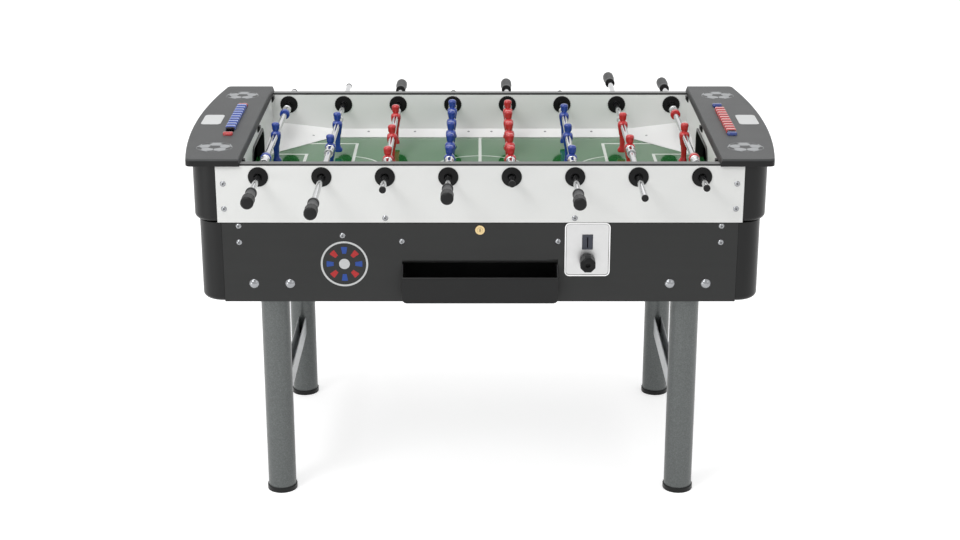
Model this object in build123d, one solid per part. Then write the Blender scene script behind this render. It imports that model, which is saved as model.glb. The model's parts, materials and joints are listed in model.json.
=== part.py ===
from build123d import *
import os

# Foosball table in millimetres. +X runs along the pitch, +Y away from the front, +Z up from the floor.
# The origin is on the floor, under the centre spot.

# Playing field
pitch_width = 700.0
pitch_height = 753.0
pitch_board_thickness = 18.0
batten_width = 20.0
batten_height = 12.0
rod_spacing = 150.0
rod_above_pitch = 83.0
keeper_to_goal = 45.0

# Upper box
wall_thickness = 22.0
wall_height = 140.0
goal_wall_thickness = 18.0
end_panel_thickness = 18.0
goal_pocket = 81.0
upper_post_width = 61.0
upper_post_radius = 57.0
post_skin = 4.0
post_end_rounding = 12.0
goal_width = 220.0
goal_height = 75.0
goal_corner_radius = 24.0
goal_frame_rim = 8.0
goal_frame_proud = 3.0
goal_liner = 4.0
rail_thickness = 5.0

# Side banks and corner ramps
bank_width = 43.0
bank_height = 15.0
bank_edge = 1.5
ramp_along_side = 166.0
ramp_height = 35.0

# End caps and score counters
cap_side_proud = 8.0
cap_end_proud = 7.0
cap_middle_proud = 37.0
cap_thickness = 18.0
cap_inner_proud = 3.0
cap_inner_bevel = 6.0
cap_corner_radius = 14.0
cap_rounding = 5.0
counter_behind_goal = 54.0
counter_slot_depth = 8.0
counter_slot_width = 26.0
counter_neck_width = 20.0
counter_foot_height = 4.0
counter_stop_length = 20.0
counter_play = 0.3
bead_count = 10
bead_length = 24.0
bead_gap = 0.4
bead_travel = 31.8
bead_width = 24.0
bead_proud = 10.0
bead_rounding = 4.0

# Lower cabinet
cabinet_end_setback = 11.0
cabinet_side_setback = 2.0
cabinet_height = 200.0
parting_gap = 1.0
panel_thickness = 16.0
floor_thickness = 12.0
lower_post_width = 59.0
lower_post_radius = 55.0

# Legs
leg_diameter = 70.0
leg_wall = 2.5
leg_from_end = 174.0
leg_headroom = 22.0
leg_hole_clearance = 0.5
leg_plate_width = 124.0
leg_plate_above_bolt = 29.0
leg_plate_thickness = 4.0
foot_skin = 2.5
foot_height = 13.0
foot_floor = 4.0
brace_width = 22.0
brace_depth = 50.0
brace_skin = 2.5
brace_underside = 187.0

# Bolts beside the legs and screws in the panels and walls
bolt_head_diameter = 24.0
bolt_head_height = 6.0
bolt_shank_diameter = 8.0
bolt_from_leg = 43.5
bolt_rise = 45.0
nut_width = 13.0
nut_height = 6.5
nut_sides = 6
screw_head_diameter = 14.0
screw_head_height = 3.5
screw_shank_diameter = 4.0
screw_length = 12.0
corner_screw_from_end = 99.0
corner_screw_high_drop = 9.0
corner_screw_low_drop = 50.0
middle_screw_from_centre = 187.0
middle_screw_drop = 48.0
left_screw_from_centre = 329.0
left_screw_drop = 33.0
wall_screw_inset = 17.0
wall_screw_low_rise = 34.0
wall_screw_high_rise = 96.0
wall_middle_screw_from_centre = 226.0
wall_middle_screw_rise = 11.0

# Ball tray and ball return
tray_width = 376.0
tray_lift = 5.0
tray_lip_height = 68.0
tray_side_height = 96.0
tray_proud = 30.0
tray_depth = 100.0
tray_skin = 3.5
tray_corner_radius = 12.0
chute_width = 120.0
chute_skin = 3.0
chute_rear_lip = 6.0
chute_front_rise = 60.0
trough_margin = 8.0
trough_drop = 14.0
trough_side = 16.0
trough_fall = 25.0

# Coin plate, coin entry and knob
coin_plate_from_centre = 257.5
coin_plate_width = 109.0
coin_plate_height = 134.0
coin_plate_thickness = 2.0
coin_plate_corner = 12.0
coin_rim_width = 3.0
coin_rim_proud = 1.5
coin_entry_width = 25.0
coin_entry_height = 36.0
coin_entry_drop = 48.0
coin_entry_proud = 4.0
coin_entry_depth = 50.0
coin_slot_height = 26.0
coin_slot_width = 2.5
knob_drop = 95.0
knob_sides = 8
knob_across_flats = 36.0
knob_length = 34.0
knob_standoff = 5.0
knob_chamfer = 3.0
knob_socket_depth = 20.0
knob_shaft_diameter = 10.0
knob_shaft_behind_panel = 34.0
release_arm_length = 46.0
release_arm_width = 14.0
release_arm_thickness = 4.0
running_clearance = 0.06

# Lock and its catch
lock_drop = 18.0
lock_face_diameter = 23.0
lock_face_thickness = 2.5
lock_barrel_diameter = 18.0
lock_plug_diameter = 12.0
lock_plug_proud = 0.8
key_slot_width = 2.0
key_slot_height = 8.0
key_slot_depth = 6.0
lock_cam_length = 26.0
lock_cam_width = 8.0
lock_cam_thickness = 3.0
lock_cam_behind_wall = 3.0
lock_cam_gap = 0.5
catch_from_lock = 12.0
catch_width = 20.0
catch_thickness = 2.0
catch_gap = 1.0
catch_foot = 24.0
batten_gap_margin = 8.0

# Rear hinges
hinge_spacing = 400.0
hinge_width = 80.0
hinge_middle_knuckle = 27.0
hinge_leaf_height = 36.0
hinge_leaf_thickness = 2.0
hinge_knuckle_diameter = 10.0
hinge_pin_diameter = 5.0
hinge_gap = 0.5

# Rods, bushings, buffers, grips and plugs
rod_diameter = 15.0
rod_bore = 11.0
bushing_diameter = 48.0
bushing_hub_diameter = 26.0
bushing_barrel_diameter = 22.0
bushing_flange = 3.0
bushing_hub = 3.0
bushing_nut = 3.0
buffer_length = 47.0
buffer_diameter = 23.0
buffer_gap = 0.3
buffer_stop_gap = 0.5
stop_ring_diameter = 27.0
stop_ring_length = 16.0
stop_ring_from_figure = 222.0
grip_length = 88.0
grip_from_plug_end = 37.0
grip_collar_diameter = 27.0
grip_collar_length = 9.0
grip_waist_diameter = 24.0
grip_waist_length = 26.0
grip_end_diameter = 30.5
grip_end_length = 30.0
grip_end_rounding = 5.0
grip_floor = 8.0
plug_diameter = 16.4
plug_head = 8.0
plug_spigot = 16.0
plug_rounding = 3.0

# Figures, measured from the rod axis
figure_width = 27.0
figure_chest_width = 25.0
figure_depth = 22.0
figure_corner = 6.0
figure_shoulder_rise = 11.0
figure_neck_rise = 16.0
figure_neck_size = 13.0
figure_waist_drop = 16.0
figure_waist_width = 22.0
figure_waist_depth = 19.0
figure_head_rise = 24.0
figure_head_diameter = 20.0
figure_leg_width = 16.0
figure_leg_depth = 13.0
figure_leg_corner = 4.0
figure_ankle_drop = 56.0
figure_foot_width = 18.0
figure_floor_gap = 9.5
figure_toe = 13.0
figure_toe_rise = 7.0
figure_heel = 9.0

# Spacing of the figures, and the tube left outside the bushing at full stroke, by kind of rod
two_men_spacing = 230.0
three_men_spacing = 213.0
five_men_spacing = 119.0
keeper_spare = 38.0
two_men_spare = 11.0
three_men_spare = 30.0
five_men_spare = 35.0

# Each rod from left to right. Rest is the share of its stroke that the rod is pushed to the rear at rest.
keeper = {"figures": 1, "spacing": 0, "spare": keeper_spare}
two_men = {"figures": 2, "spacing": two_men_spacing, "spare": two_men_spare}
three_men = {"figures": 3, "spacing": three_men_spacing, "spare": three_men_spare}
five_men = {"figures": 5, "spacing": five_men_spacing, "spare": five_men_spare}
rod_rows = (
    {**keeper, "rest": 0.275, "grip_side": -1, "facing": 1},
    {**two_men, "rest": 0.07, "grip_side": -1, "facing": 1},
    {**three_men, "rest": -0.055, "grip_side": 1, "facing": -1},
    {**five_men, "rest": 0.61, "grip_side": -1, "facing": 1},
    {**five_men, "rest": 0.525, "grip_side": 1, "facing": -1},
    {**three_men, "rest": 0.07, "grip_side": -1, "facing": 1},
    {**two_men, "rest": 0.047, "grip_side": 1, "facing": -1},
    {**keeper, "rest": 0.2, "grip_side": 1, "facing": -1},
)

# Levels and faces that several pieces share
rod_positions = [(index - (len(rod_rows) - 1) / 2) * rod_spacing for index in range(len(rod_rows))]
half_pitch_x = rod_positions[-1] + keeper_to_goal
half_pitch_y = pitch_width / 2
rod_z = pitch_height + rod_above_pitch
pitch_underside = pitch_height - pitch_board_thickness
goal_wall_outer_x = half_pitch_x + goal_wall_thickness
box_half_x = goal_wall_outer_x + goal_pocket + end_panel_thickness
box_half_y = half_pitch_y + wall_thickness
wall_half_x = box_half_x - upper_post_width
box_bottom = pitch_underside - batten_height
wall_top = box_bottom + wall_height
cap_top = wall_top + cap_thickness
cabinet_top = box_bottom - parting_gap
cabinet_bottom = cabinet_top - cabinet_height
cabinet_half_x = box_half_x - cabinet_end_setback
cabinet_half_y = box_half_y - cabinet_side_setback
panel_half_x = cabinet_half_x - lower_post_width
panel_inner_x = cabinet_half_x - panel_thickness
panel_inner_y = cabinet_half_y - panel_thickness
floor_bottom = cabinet_bottom + post_skin
floor_top = floor_bottom + floor_thickness
leg_from_centre = cabinet_half_x - leg_from_end
leg_y = panel_inner_y - leg_plate_thickness - leg_diameter / 2
leg_top = cabinet_top - leg_headroom
bolt_height = cabinet_bottom + bolt_rise
tray_back_y = tray_depth - cabinet_half_y
plate_face_y = -cabinet_half_y - coin_plate_thickness
coin_entry_z = cabinet_top - coin_entry_drop
knob_z = cabinet_top - knob_drop
lock_z = cabinet_top - lock_drop
lock_cam_y = lock_cam_behind_wall - half_pitch_y
hinge_axis_y = box_half_y + hinge_knuckle_diameter / 2 + hinge_gap
hinge_axis_z = box_bottom - parting_gap / 2
bushing_outer_y = box_half_y + bushing_flange + bushing_hub
bushing_inner_y = half_pitch_y - bushing_nut
figure_foot_drop = rod_above_pitch - figure_floor_gap
overshoot = 5.0


def block(x0, x1, y0, y1, z0, z1):
    """Rectangular block between two corners."""
    middle = Pos((x0 + x1) / 2, (y0 + y1) / 2, (z0 + z1) / 2)
    return middle * Box(abs(x1 - x0), abs(y1 - y0), abs(z1 - z0))


def bar_along_y(x, z, diameter, y0, y1):
    """Round bar along Y between two planes."""
    return Pos(x, (y0 + y1) / 2, z) * Rot(90, 0, 0) * Cylinder(diameter / 2, abs(y1 - y0))


def bar_along_x(y, z, diameter, x0, x1):
    """Round bar along X between two planes."""
    return Pos((x0 + x1) / 2, y, z) * Rot(0, 90, 0) * Cylinder(diameter / 2, abs(x1 - x0))


def upright_bar(x, y, diameter, z0, z1):
    """Round bar along Z between two levels."""
    return Pos(x, y, (z0 + z1) / 2) * Cylinder(diameter / 2, z1 - z0)


def prism_along_x(points, x0, x1):
    """Prism along X whose section is given as (y, z) points."""
    section = make_face(Polyline(*[(x0, y, z) for y, z in points], close=True))
    return extrude(section, amount=x1 - x0, dir=(1, 0, 0))


def prism_along_y(points, y0, y1):
    """Prism along Y whose section is given as (x, z) points."""
    section = make_face(Polyline(*[(x, y0, z) for x, z in points], close=True))
    return extrude(section, amount=y1 - y0, dir=(0, 1, 0))


def left_and_right(shape):
    return [shape, mirror(shape, about=Plane.YZ)]


def front_and_rear(shape):
    return [shape, mirror(shape, about=Plane.XZ)]


def four_corners(shape):
    return [corner for side in left_and_right(shape) for corner in front_and_rear(side)]


def save(node, *shapes):
    """Write the separate solids of one node."""
    solids = [solid for shape in shapes for solid in shape.solids()]
    export_step(Compound(solids), f"parts/{node}.step")


def rounded_quarter(size, radius, rounding, start, bottom, top):
    """Upright with one rounded corner in plan, whose lower end is rounded off on its outer side."""
    plan = Pos((start + size) / 2, (start + size) / 2) * Rectangle(size - start, size - start)
    plan = fillet(max(plan.vertices(), key=lambda v: v.X + v.Y), radius)
    upright = Pos(0, 0, bottom) * extrude(plan, amount=top - bottom, dir=(0, 0, 1))
    foot_edges = upright.edges().group_by(Axis.Z)[0]
    outer_edges = [edge for edge in foot_edges if min((edge @ 0.5).X, (edge @ 0.5).Y) > start]
    return fillet(outer_edges, rounding)


def corner_post(half_x, half_y, width, radius, bottom, top):
    """Hollow moulded corner post, open towards the inside of the box."""
    outside = rounded_quarter(width, radius, post_end_rounding, 0, bottom, top)
    inside = rounded_quarter(
        width - post_skin, radius - post_skin, post_end_rounding - post_skin,
        -overshoot, bottom + post_skin, top + overshoot)
    return Pos(half_x - width, half_y - width, 0) * (outside - inside)


def dome_screw(x, z, face_y, head_diameter, head_height, shank_diameter, length):
    """Domed head on a front face, with its shank going in."""
    ball_radius = (head_diameter ** 2 / 4 + head_height ** 2) / (2 * head_height)
    ball = Pos(x, face_y + ball_radius - head_height, z) * Sphere(ball_radius)
    reach = head_diameter
    head = ball & block(x - reach, x + reach, face_y - head_height, face_y, z - reach, z + reach)
    return head + bar_along_y(x, z, shank_diameter, face_y, face_y + length)


def panel_screw(x, z, face_y):
    """Small domed screw on a front face."""
    return dome_screw(
        x, z, face_y, screw_head_diameter, screw_head_height, screw_shank_diameter, screw_length)


def without(shape, cutters):
    """Shape with each of the cutters taken out."""
    for cutter in cutters:
        shape = shape - cutter
    return shape


# Bolts and screws of the cabinet. Each leg has two bolts through its panel and its plate.
bolt_grip = panel_thickness + leg_plate_thickness
bolt = dome_screw(
    0, bolt_height, -cabinet_half_y, bolt_head_diameter, bolt_head_height, bolt_shank_diameter,
    bolt_grip + nut_height)
nut_face = Rot(90, 0, 0) * RegularPolygon(nut_width / 2, nut_sides, major_radius=False)
nut = extrude(nut_face, amount=nut_height, dir=(0, 1, 0))
nut = Pos(0, bolt_grip - cabinet_half_y, bolt_height) * nut - bolt
front_bolts = []
front_nuts = []
for leg_x in (-leg_from_centre, leg_from_centre):
    for offset in (-bolt_from_leg, bolt_from_leg):
        front_bolts.append(Pos(leg_x + offset, 0, 0) * bolt)
        front_nuts.append(Pos(leg_x + offset, 0, 0) * nut)
leg_bolts = [copy for piece in front_bolts + front_nuts for copy in front_and_rear(piece)]
corner_screw_x = cabinet_half_x - corner_screw_from_end
corner_screws = [
    panel_screw(side * corner_screw_x, cabinet_top - drop, -cabinet_half_y)
    for side in (-1, 1) for drop in (corner_screw_high_drop, corner_screw_low_drop)]
middle_screws = [
    panel_screw(side * middle_screw_from_centre, cabinet_top - middle_screw_drop, -cabinet_half_y)
    for side in (-1, 1)]
middle_screws.append(panel_screw(-left_screw_from_centre, cabinet_top - left_screw_drop, -cabinet_half_y))
rear_screws = [mirror(screw, about=Plane.XZ) for screw in corner_screws]

# Ball tray: a moulded bin that stands out of the panel as a lip, with a gap in its back for the chute.
tray_half_x = tray_width / 2
tray_front_y = -cabinet_half_y - tray_proud
tray_bottom = cabinet_bottom + tray_lift
tray_top = cabinet_bottom + tray_side_height
lip_top = cabinet_bottom + tray_lip_height
chute_half_x = chute_width / 2
chute_inner_x = chute_half_x - chute_skin
chute_front_z = floor_top + chute_front_rise
tray_section = [
    (tray_front_y, tray_bottom), (tray_front_y, lip_top), (-cabinet_half_y, tray_top),
    (tray_back_y, tray_top), (tray_back_y, tray_bottom)]
tray_body = prism_along_x(tray_section, -tray_half_x, tray_half_x)
tray_low_edges = [edge for edge in tray_body.edges().filter_by(Axis.Y) if (edge @ 0.5).Z < lip_top]
tray_body = fillet(tray_low_edges, tray_corner_radius)
tray_hollow = block(
    tray_skin - tray_half_x, tray_half_x - tray_skin, tray_front_y + tray_skin, tray_back_y - tray_skin,
    tray_bottom + tray_skin, tray_top + overshoot)
hollow_low_edges = [edge for edge in tray_hollow.edges().filter_by(Axis.Y) if (edge @ 0.5).Z < lip_top]
tray_hollow = fillet(hollow_low_edges, tray_corner_radius - tray_skin)
tray_gap = block(
    -chute_half_x, chute_half_x, tray_back_y - tray_skin - overshoot, tray_back_y + overshoot,
    chute_front_z + chute_skin, tray_top + overshoot)
tray = without(tray_body, [tray_hollow, tray_gap])

# Front panel: board with the tray's window and the holes for coin entry, knob shaft, lock and fasteners.
knob_shaft_hole = bar_along_y(
    coin_plate_from_centre, knob_z, knob_shaft_diameter + 2 * running_clearance,
    plate_face_y - overshoot, -panel_inner_y + overshoot)
coin_entry_half_x = coin_entry_width / 2
coin_entry_half_z = coin_entry_height / 2
coin_entry_body = block(
    coin_plate_from_centre - coin_entry_half_x, coin_plate_from_centre + coin_entry_half_x,
    plate_face_y - coin_entry_proud, plate_face_y - coin_entry_proud + coin_entry_depth,
    coin_entry_z - coin_entry_half_z, coin_entry_z + coin_entry_half_z)
front_panel = block(
    -panel_half_x, panel_half_x, -cabinet_half_y, -panel_inner_y, cabinet_bottom, cabinet_top)
lock_hole = bar_along_y(
    0, lock_z, lock_barrel_diameter, -cabinet_half_y - overshoot, -panel_inner_y + overshoot)
front_panel = without(
    front_panel,
    [tray_body, coin_entry_body, knob_shaft_hole, lock_hole] + front_bolts + corner_screws + middle_screws)

# Rear panel and the two end panels between the corner posts.
rear_panel = block(
    -panel_half_x, panel_half_x, panel_inner_y, cabinet_half_y, cabinet_bottom, cabinet_top)
rear_panel = without(rear_panel, [mirror(piece, about=Plane.XZ) for piece in front_bolts + corner_screws])
end_panel_half_y = cabinet_half_y - lower_post_width
end_panel = block(
    panel_inner_x, cabinet_half_x, -end_panel_half_y, end_panel_half_y, cabinet_bottom, cabinet_top)

# Floor panel, rounded off inside the corner posts, with a hole for each leg and a notch for the tray.
floor_plan = RectangleRounded(2 * panel_inner_x, 2 * panel_inner_y, lower_post_radius - panel_thickness)
floor_panel = Pos(0, 0, floor_bottom) * extrude(floor_plan, amount=floor_thickness, dir=(0, 0, 1))
leg_hole = upright_bar(
    leg_from_centre, leg_y, leg_diameter + 2 * leg_hole_clearance,
    floor_bottom - overshoot, floor_top + overshoot)
floor_notch = block(
    -tray_half_x, tray_half_x, -panel_inner_y - overshoot, tray_back_y,
    floor_bottom - overshoot, floor_top + overshoot)
floor_panel = without(floor_panel, four_corners(leg_hole) + [floor_notch])

# Corner posts of the cabinet and of the upper box.
lower_post = corner_post(
    cabinet_half_x, cabinet_half_y, lower_post_width, lower_post_radius, cabinet_bottom, cabinet_top)
upper_post = corner_post(
    box_half_x, box_half_y, upper_post_width, upper_post_radius, box_bottom, wall_top)

# Legs: tubes in foot caps, a welded plate behind each pair of bolts, and a channel brace at each end.
leg_body = upright_bar(leg_from_centre, leg_y, leg_diameter, foot_floor, leg_top)
leg_tube = leg_body - upright_bar(
    leg_from_centre, leg_y, leg_diameter - 2 * leg_wall, foot_floor - overshoot, leg_top + overshoot)
foot_cap = upright_bar(leg_from_centre, leg_y, leg_diameter + 2 * foot_skin, 0, foot_height) - leg_body
plate_half_x = leg_plate_width / 2
leg_plate = block(
    leg_from_centre - plate_half_x, leg_from_centre + plate_half_x,
    -panel_inner_y, leg_plate_thickness - panel_inner_y, floor_top, bolt_height + leg_plate_above_bolt)
leg_plate = without(leg_plate, front_bolts)
brace_half_x = brace_width / 2
brace_top = brace_underside + brace_depth
brace = block(
    leg_from_centre - brace_half_x, leg_from_centre + brace_half_x, -leg_y, leg_y, brace_underside, brace_top)
brace_hollow = block(
    leg_from_centre - brace_half_x + brace_skin, leg_from_centre + brace_half_x - brace_skin, -leg_y, leg_y,
    brace_underside + brace_skin, brace_top + overshoot)
brace = without(brace, [brace_hollow] + front_and_rear(leg_body))

# Ball return: a sloping trough under each goal leads to a chute that falls to the tray.
trough_half_y = goal_width / 2 + trough_margin
trough_outer_z = cabinet_top - trough_drop - trough_side - chute_skin
chute_side_top = trough_outer_z - trough_fall
chute_rear_z = chute_side_top - chute_rear_lip
chute_side = block(chute_inner_x, chute_half_x, tray_back_y, trough_half_y, floor_top, chute_side_top)
chute_floor = prism_along_x(
    [(tray_back_y, chute_front_z), (trough_half_y, chute_rear_z), (trough_half_y, chute_rear_z + chute_skin),
     (tray_back_y, chute_front_z + chute_skin)],
    -chute_inner_x, chute_inner_x)
chute_back = block(
    -chute_inner_x, chute_inner_x, trough_half_y - chute_skin, trough_half_y, floor_top, chute_side_top)
chute = chute_floor + chute_back + left_and_right(chute_side)


def trough_wall(height, y0, y1):
    """Strip of the trough that falls from the end panel to the chute."""
    corners = [
        (chute_inner_x, chute_side_top), (panel_inner_x, trough_outer_z),
        (panel_inner_x, trough_outer_z + height), (chute_inner_x, chute_side_top + height)]
    return prism_along_y(corners, y0, y1)


trough =trough_wall(chute_skin, -trough_half_y, trough_half_y) + front_and_rear(
    trough_wall(chute_skin + trough_side, trough_half_y - chute_skin, trough_half_y))

# Coin plate: pressed steel with a raised rim, with the coin entry through it.
plate_centre_z = cabinet_top - coin_plate_height / 2


def plate_slab(inset, back_y, front_y):
    """Slab of the coin plate's outline, drawn in by an inset."""
    outline = RectangleRounded(
        coin_plate_width - 2 * inset, coin_plate_height - 2 * inset, coin_plate_corner - inset)
    slab = extrude(Rot(90, 0, 0) * outline, amount=back_y - front_y, dir=(0, -1, 0))
    return Pos(coin_plate_from_centre, back_y, plate_centre_z) * slab


coin_plate = plate_slab(0, -cabinet_half_y, plate_face_y - coin_rim_proud)
coin_plate = coin_plate - plate_slab(coin_rim_width, plate_face_y, plate_face_y - coin_rim_proud - overshoot)
coin_plate = without(coin_plate, [coin_entry_body, knob_shaft_hole])
coin_slot = block(
    coin_plate_from_centre - coin_slot_width / 2, coin_plate_from_centre + coin_slot_width / 2,
    plate_face_y - coin_entry_proud - overshoot, plate_face_y + coin_entry_depth,
    coin_entry_z - coin_slot_height / 2, coin_entry_z + coin_slot_height / 2)
coin_entry = coin_entry_body - coin_slot

# Coin knob on its shaft, with the arm inside that lets the balls go.
knob_back_y = plate_face_y - knob_standoff
knob_face = Rot(90, 0, 0) * RegularPolygon(
    knob_across_flats / 2, knob_sides, major_radius=False, rotation=180 / knob_sides)
knob = Pos(0, knob_back_y, 0) * extrude(knob_face, amount=knob_length, dir=(0, -1, 0))
knob = chamfer(knob.edges().group_by(Axis.Y)[0], knob_chamfer)
shaft_front_y = knob_back_y - knob_socket_depth
shaft_rear_y = -panel_inner_y + knob_shaft_behind_panel
knob_shaft = bar_along_y(0, 0, knob_shaft_diameter, shaft_front_y, shaft_rear_y)
knob = knob - knob_shaft
release_arm = block(
    -release_arm_width / 2, release_arm_width / 2, shaft_rear_y - release_arm_thickness, shaft_rear_y,
    -release_arm_length, release_arm_width / 2)
knob_place = Pos(coin_plate_from_centre, 0, knob_z)

# Lock: brass housing in the panel, and a plug with a cam that turns over the catch of the upper box.
lock_face_y = -cabinet_half_y - lock_face_thickness
lock_housing = bar_along_y(0, lock_z, lock_face_diameter, lock_face_y, -cabinet_half_y)
lock_housing += bar_along_y(0, lock_z, lock_barrel_diameter, -cabinet_half_y, lock_cam_y - lock_cam_gap)
lock_housing -= bar_along_y(
    0, lock_z, lock_plug_diameter + 2 * running_clearance, lock_face_y - overshoot, lock_cam_y)
lock_plug_face_y = lock_face_y - lock_plug_proud
key_lock = bar_along_y(0, lock_z, lock_plug_diameter, lock_plug_face_y, lock_cam_y + lock_cam_thickness)
key_lock -= block(
    -key_slot_width / 2, key_slot_width / 2, lock_plug_face_y - overshoot, lock_plug_face_y + key_slot_depth,
    lock_z - key_slot_height / 2, lock_z + key_slot_height / 2)
key_lock += block(
    -lock_cam_width / 2, lock_cam_width / 2, lock_cam_y, lock_cam_y + lock_cam_thickness,
    lock_z - lock_plug_diameter / 2, lock_z + lock_cam_length)
catch_front_y = lock_cam_y + lock_cam_thickness + catch_gap
catch_top_z = lock_z - lock_cam_width / 2 - catch_gap
catch_end_x = catch_from_lock + catch_width
catch = block(
    catch_from_lock, catch_end_x, lock_cam_y, catch_front_y + catch_thickness,
    catch_top_z - catch_thickness, catch_top_z)
catch += block(
    catch_from_lock, catch_end_x, catch_front_y, catch_front_y + catch_thickness,
    catch_top_z - catch_thickness, pitch_underside)
catch += block(
    catch_from_lock, catch_end_x, catch_front_y, catch_front_y + catch_foot,
    pitch_underside - catch_thickness, pitch_underside)

# Rear hinges: the fixed leaf has the outer knuckles and the pin, the moving leaf the middle knuckle.
knuckle_radius = hinge_knuckle_diameter / 2
leaf_face_y = box_half_y + hinge_leaf_thickness
middle_half = hinge_middle_knuckle / 2
leaf_half = hinge_width / 2


def knuckle(x0, x1, web_z, wall_y, bore):
    """Hinge knuckle with the web that joins it to its leaf."""
    web = block(x0, x1, wall_y, hinge_axis_y, hinge_axis_z, web_z)
    barrel = bar_along_x(hinge_axis_y, hinge_axis_z, hinge_knuckle_diameter, x0, x1)
    return web + barrel - bar_along_x(hinge_axis_y, hinge_axis_z, bore, x0 - overshoot, x1 + overshoot)


outer_start = middle_half + hinge_gap
fixed_web_z = hinge_axis_z - knuckle_radius - hinge_gap
moving_web_z = hinge_axis_z + knuckle_radius + hinge_gap
fixed_leaf = block(
    -leaf_half, leaf_half, cabinet_half_y, leaf_face_y, hinge_axis_z - hinge_leaf_height, fixed_web_z)
moving_leaf = block(
    -leaf_half, leaf_half, box_half_y, leaf_face_y, moving_web_z, hinge_axis_z + hinge_leaf_height)
fixed_knuckle = knuckle(outer_start, leaf_half, fixed_web_z, cabinet_half_y, hinge_pin_diameter)
fixed_leaf = fixed_leaf + left_and_right(fixed_knuckle)
moving_bore = hinge_pin_diameter + 2 * running_clearance
moving_leaf = moving_leaf + knuckle(-middle_half, middle_half, moving_web_z, box_half_y, moving_bore)
hinge_pin = bar_along_x(hinge_axis_y, hinge_axis_z, hinge_pin_diameter, -leaf_half, leaf_half)

# Upper box: long walls with the rod holes, goal walls with the goal mouths, outer end panels.
wall_screws = [
    panel_screw(side * (wall_half_x - wall_screw_inset), box_bottom + rise, -box_half_y)
    for side in (-1, 1) for rise in (wall_screw_low_rise, wall_screw_high_rise)]
wall_screws += [
    panel_screw(side * wall_middle_screw_from_centre, box_bottom + wall_middle_screw_rise, -box_half_y)
    for side in (-1, 1)]
long_wall = block(-wall_half_x, wall_half_x, -box_half_y, -half_pitch_y, box_bottom, wall_top)
rod_holes = [
    bar_along_y(x, rod_z, bushing_barrel_diameter, -box_half_y - overshoot, -half_pitch_y + overshoot)
    for x in rod_positions]
long_wall = without(long_wall, rod_holes + wall_screws)


def goal_mouth(grow, x0, x1):
    """Goal opening with rounded top corners, grown by a rim, between two planes along X."""
    height = goal_height + grow
    outline = Pos(0, height / 2) * Rectangle(goal_width + 2 * grow, height)
    outline = fillet(outline.vertices().group_by(Axis.Y)[-1], goal_corner_radius + grow)
    return Pos(x0, 0, pitch_height) * extrude(Plane.YZ * outline, amount=x1 - x0, dir=(1, 0, 0))


goal_wall = block(half_pitch_x, goal_wall_outer_x, -half_pitch_y, half_pitch_y, pitch_height, wall_top)
goal_wall = goal_wall - goal_mouth(goal_liner, half_pitch_x - overshoot, goal_wall_outer_x + overshoot)
goal_face_x = half_pitch_x - goal_frame_proud
goal_frame = goal_mouth(goal_frame_rim, goal_face_x, half_pitch_x)
goal_frame += goal_mouth(goal_liner, half_pitch_x, goal_wall_outer_x)
goal_frame -= goal_mouth(0, goal_face_x - overshoot, goal_wall_outer_x + overshoot)
outer_end_half_y = box_half_y - upper_post_width
outer_end = block(
    box_half_x - end_panel_thickness, box_half_x, -outer_end_half_y, outer_end_half_y, box_bottom, wall_top)

# Pitch board on battens; the front batten leaves room for the lock cam and the catch.
pitch_board = block(
    -goal_wall_outer_x, goal_wall_outer_x, -half_pitch_y, half_pitch_y, pitch_underside, pitch_height)
batten = block(
    -goal_wall_outer_x, goal_wall_outer_x, -half_pitch_y, batten_width - half_pitch_y,
    box_bottom, pitch_underside)
batten_gap = block(
    -lock_cam_width / 2 - batten_gap_margin, catch_end_x + batten_gap_margin,
    -half_pitch_y - overshoot, batten_width - half_pitch_y + overshoot,
    box_bottom - overshoot, pitch_underside)

# Banks along the sides and ramps in the corners, which roll a dead ball back into play.
bank_edge_y = half_pitch_y - bank_width
ramp_side_x = half_pitch_x - ramp_along_side
ramp_end_y = goal_width / 2 + goal_frame_rim
bank = prism_along_x(
    [(bank_edge_y, pitch_height), (half_pitch_y, pitch_height), (half_pitch_y, pitch_height + bank_height),
     (bank_edge_y, pitch_height + bank_edge)],
    -ramp_side_x, ramp_side_x)
ramp_plan = [
    (ramp_side_x, bank_edge_y), (half_pitch_x, ramp_end_y), (half_pitch_x, half_pitch_y),
    (ramp_side_x, half_pitch_y)]
ramp_rises = [bank_edge, bank_edge, ramp_height, bank_height]
ramp_low = [(x, y, pitch_height) for x, y in ramp_plan]
ramp_high = [(x, y, pitch_height + rise) for (x, y), rise in zip(ramp_plan, ramp_rises)]
ramp_faces = [ramp_low, ramp_high[:3], [ramp_high[0], ramp_high[2], ramp_high[3]]]
for first in range(len(ramp_plan)):
    second = (first + 1) % len(ramp_plan)
    ramp_faces.append([ramp_low[first], ramp_low[second], ramp_high[second], ramp_high[first]])
ramp = Solid(Shell([make_face(Polyline(*corners, close=True)).face() for corners in ramp_faces]))

# Top rails on the long walls, and the goal ends' moulded caps with a curved outer edge.
cap_inner_x = half_pitch_x - cap_inner_proud
rail = block(-cap_inner_x, cap_inner_x, -box_half_y, -half_pitch_y, wall_top, wall_top + rail_thickness)
cap_half_y = box_half_y + cap_side_proud
cap_end_reach = box_half_x + cap_end_proud
cap_middle_reach = box_half_x + cap_middle_proud
counter_from_centre = half_pitch_x + counter_behind_goal
cap_outline = [
    Polyline((cap_end_reach, cap_half_y), (cap_inner_x, cap_half_y), (cap_inner_x, -cap_half_y),
             (cap_end_reach, -cap_half_y)),
    ThreePointArc((cap_end_reach, -cap_half_y), (cap_middle_reach, 0), (cap_end_reach, cap_half_y))]
cap_plan = make_face(cap_outline)
cap_plan = fillet([v for v in cap_plan.vertices() if v.X > counter_from_centre], cap_corner_radius)
cap = Pos(0, 0, wall_top) * extrude(cap_plan, amount=cap_thickness, dir=(0, 0, 1))
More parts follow.
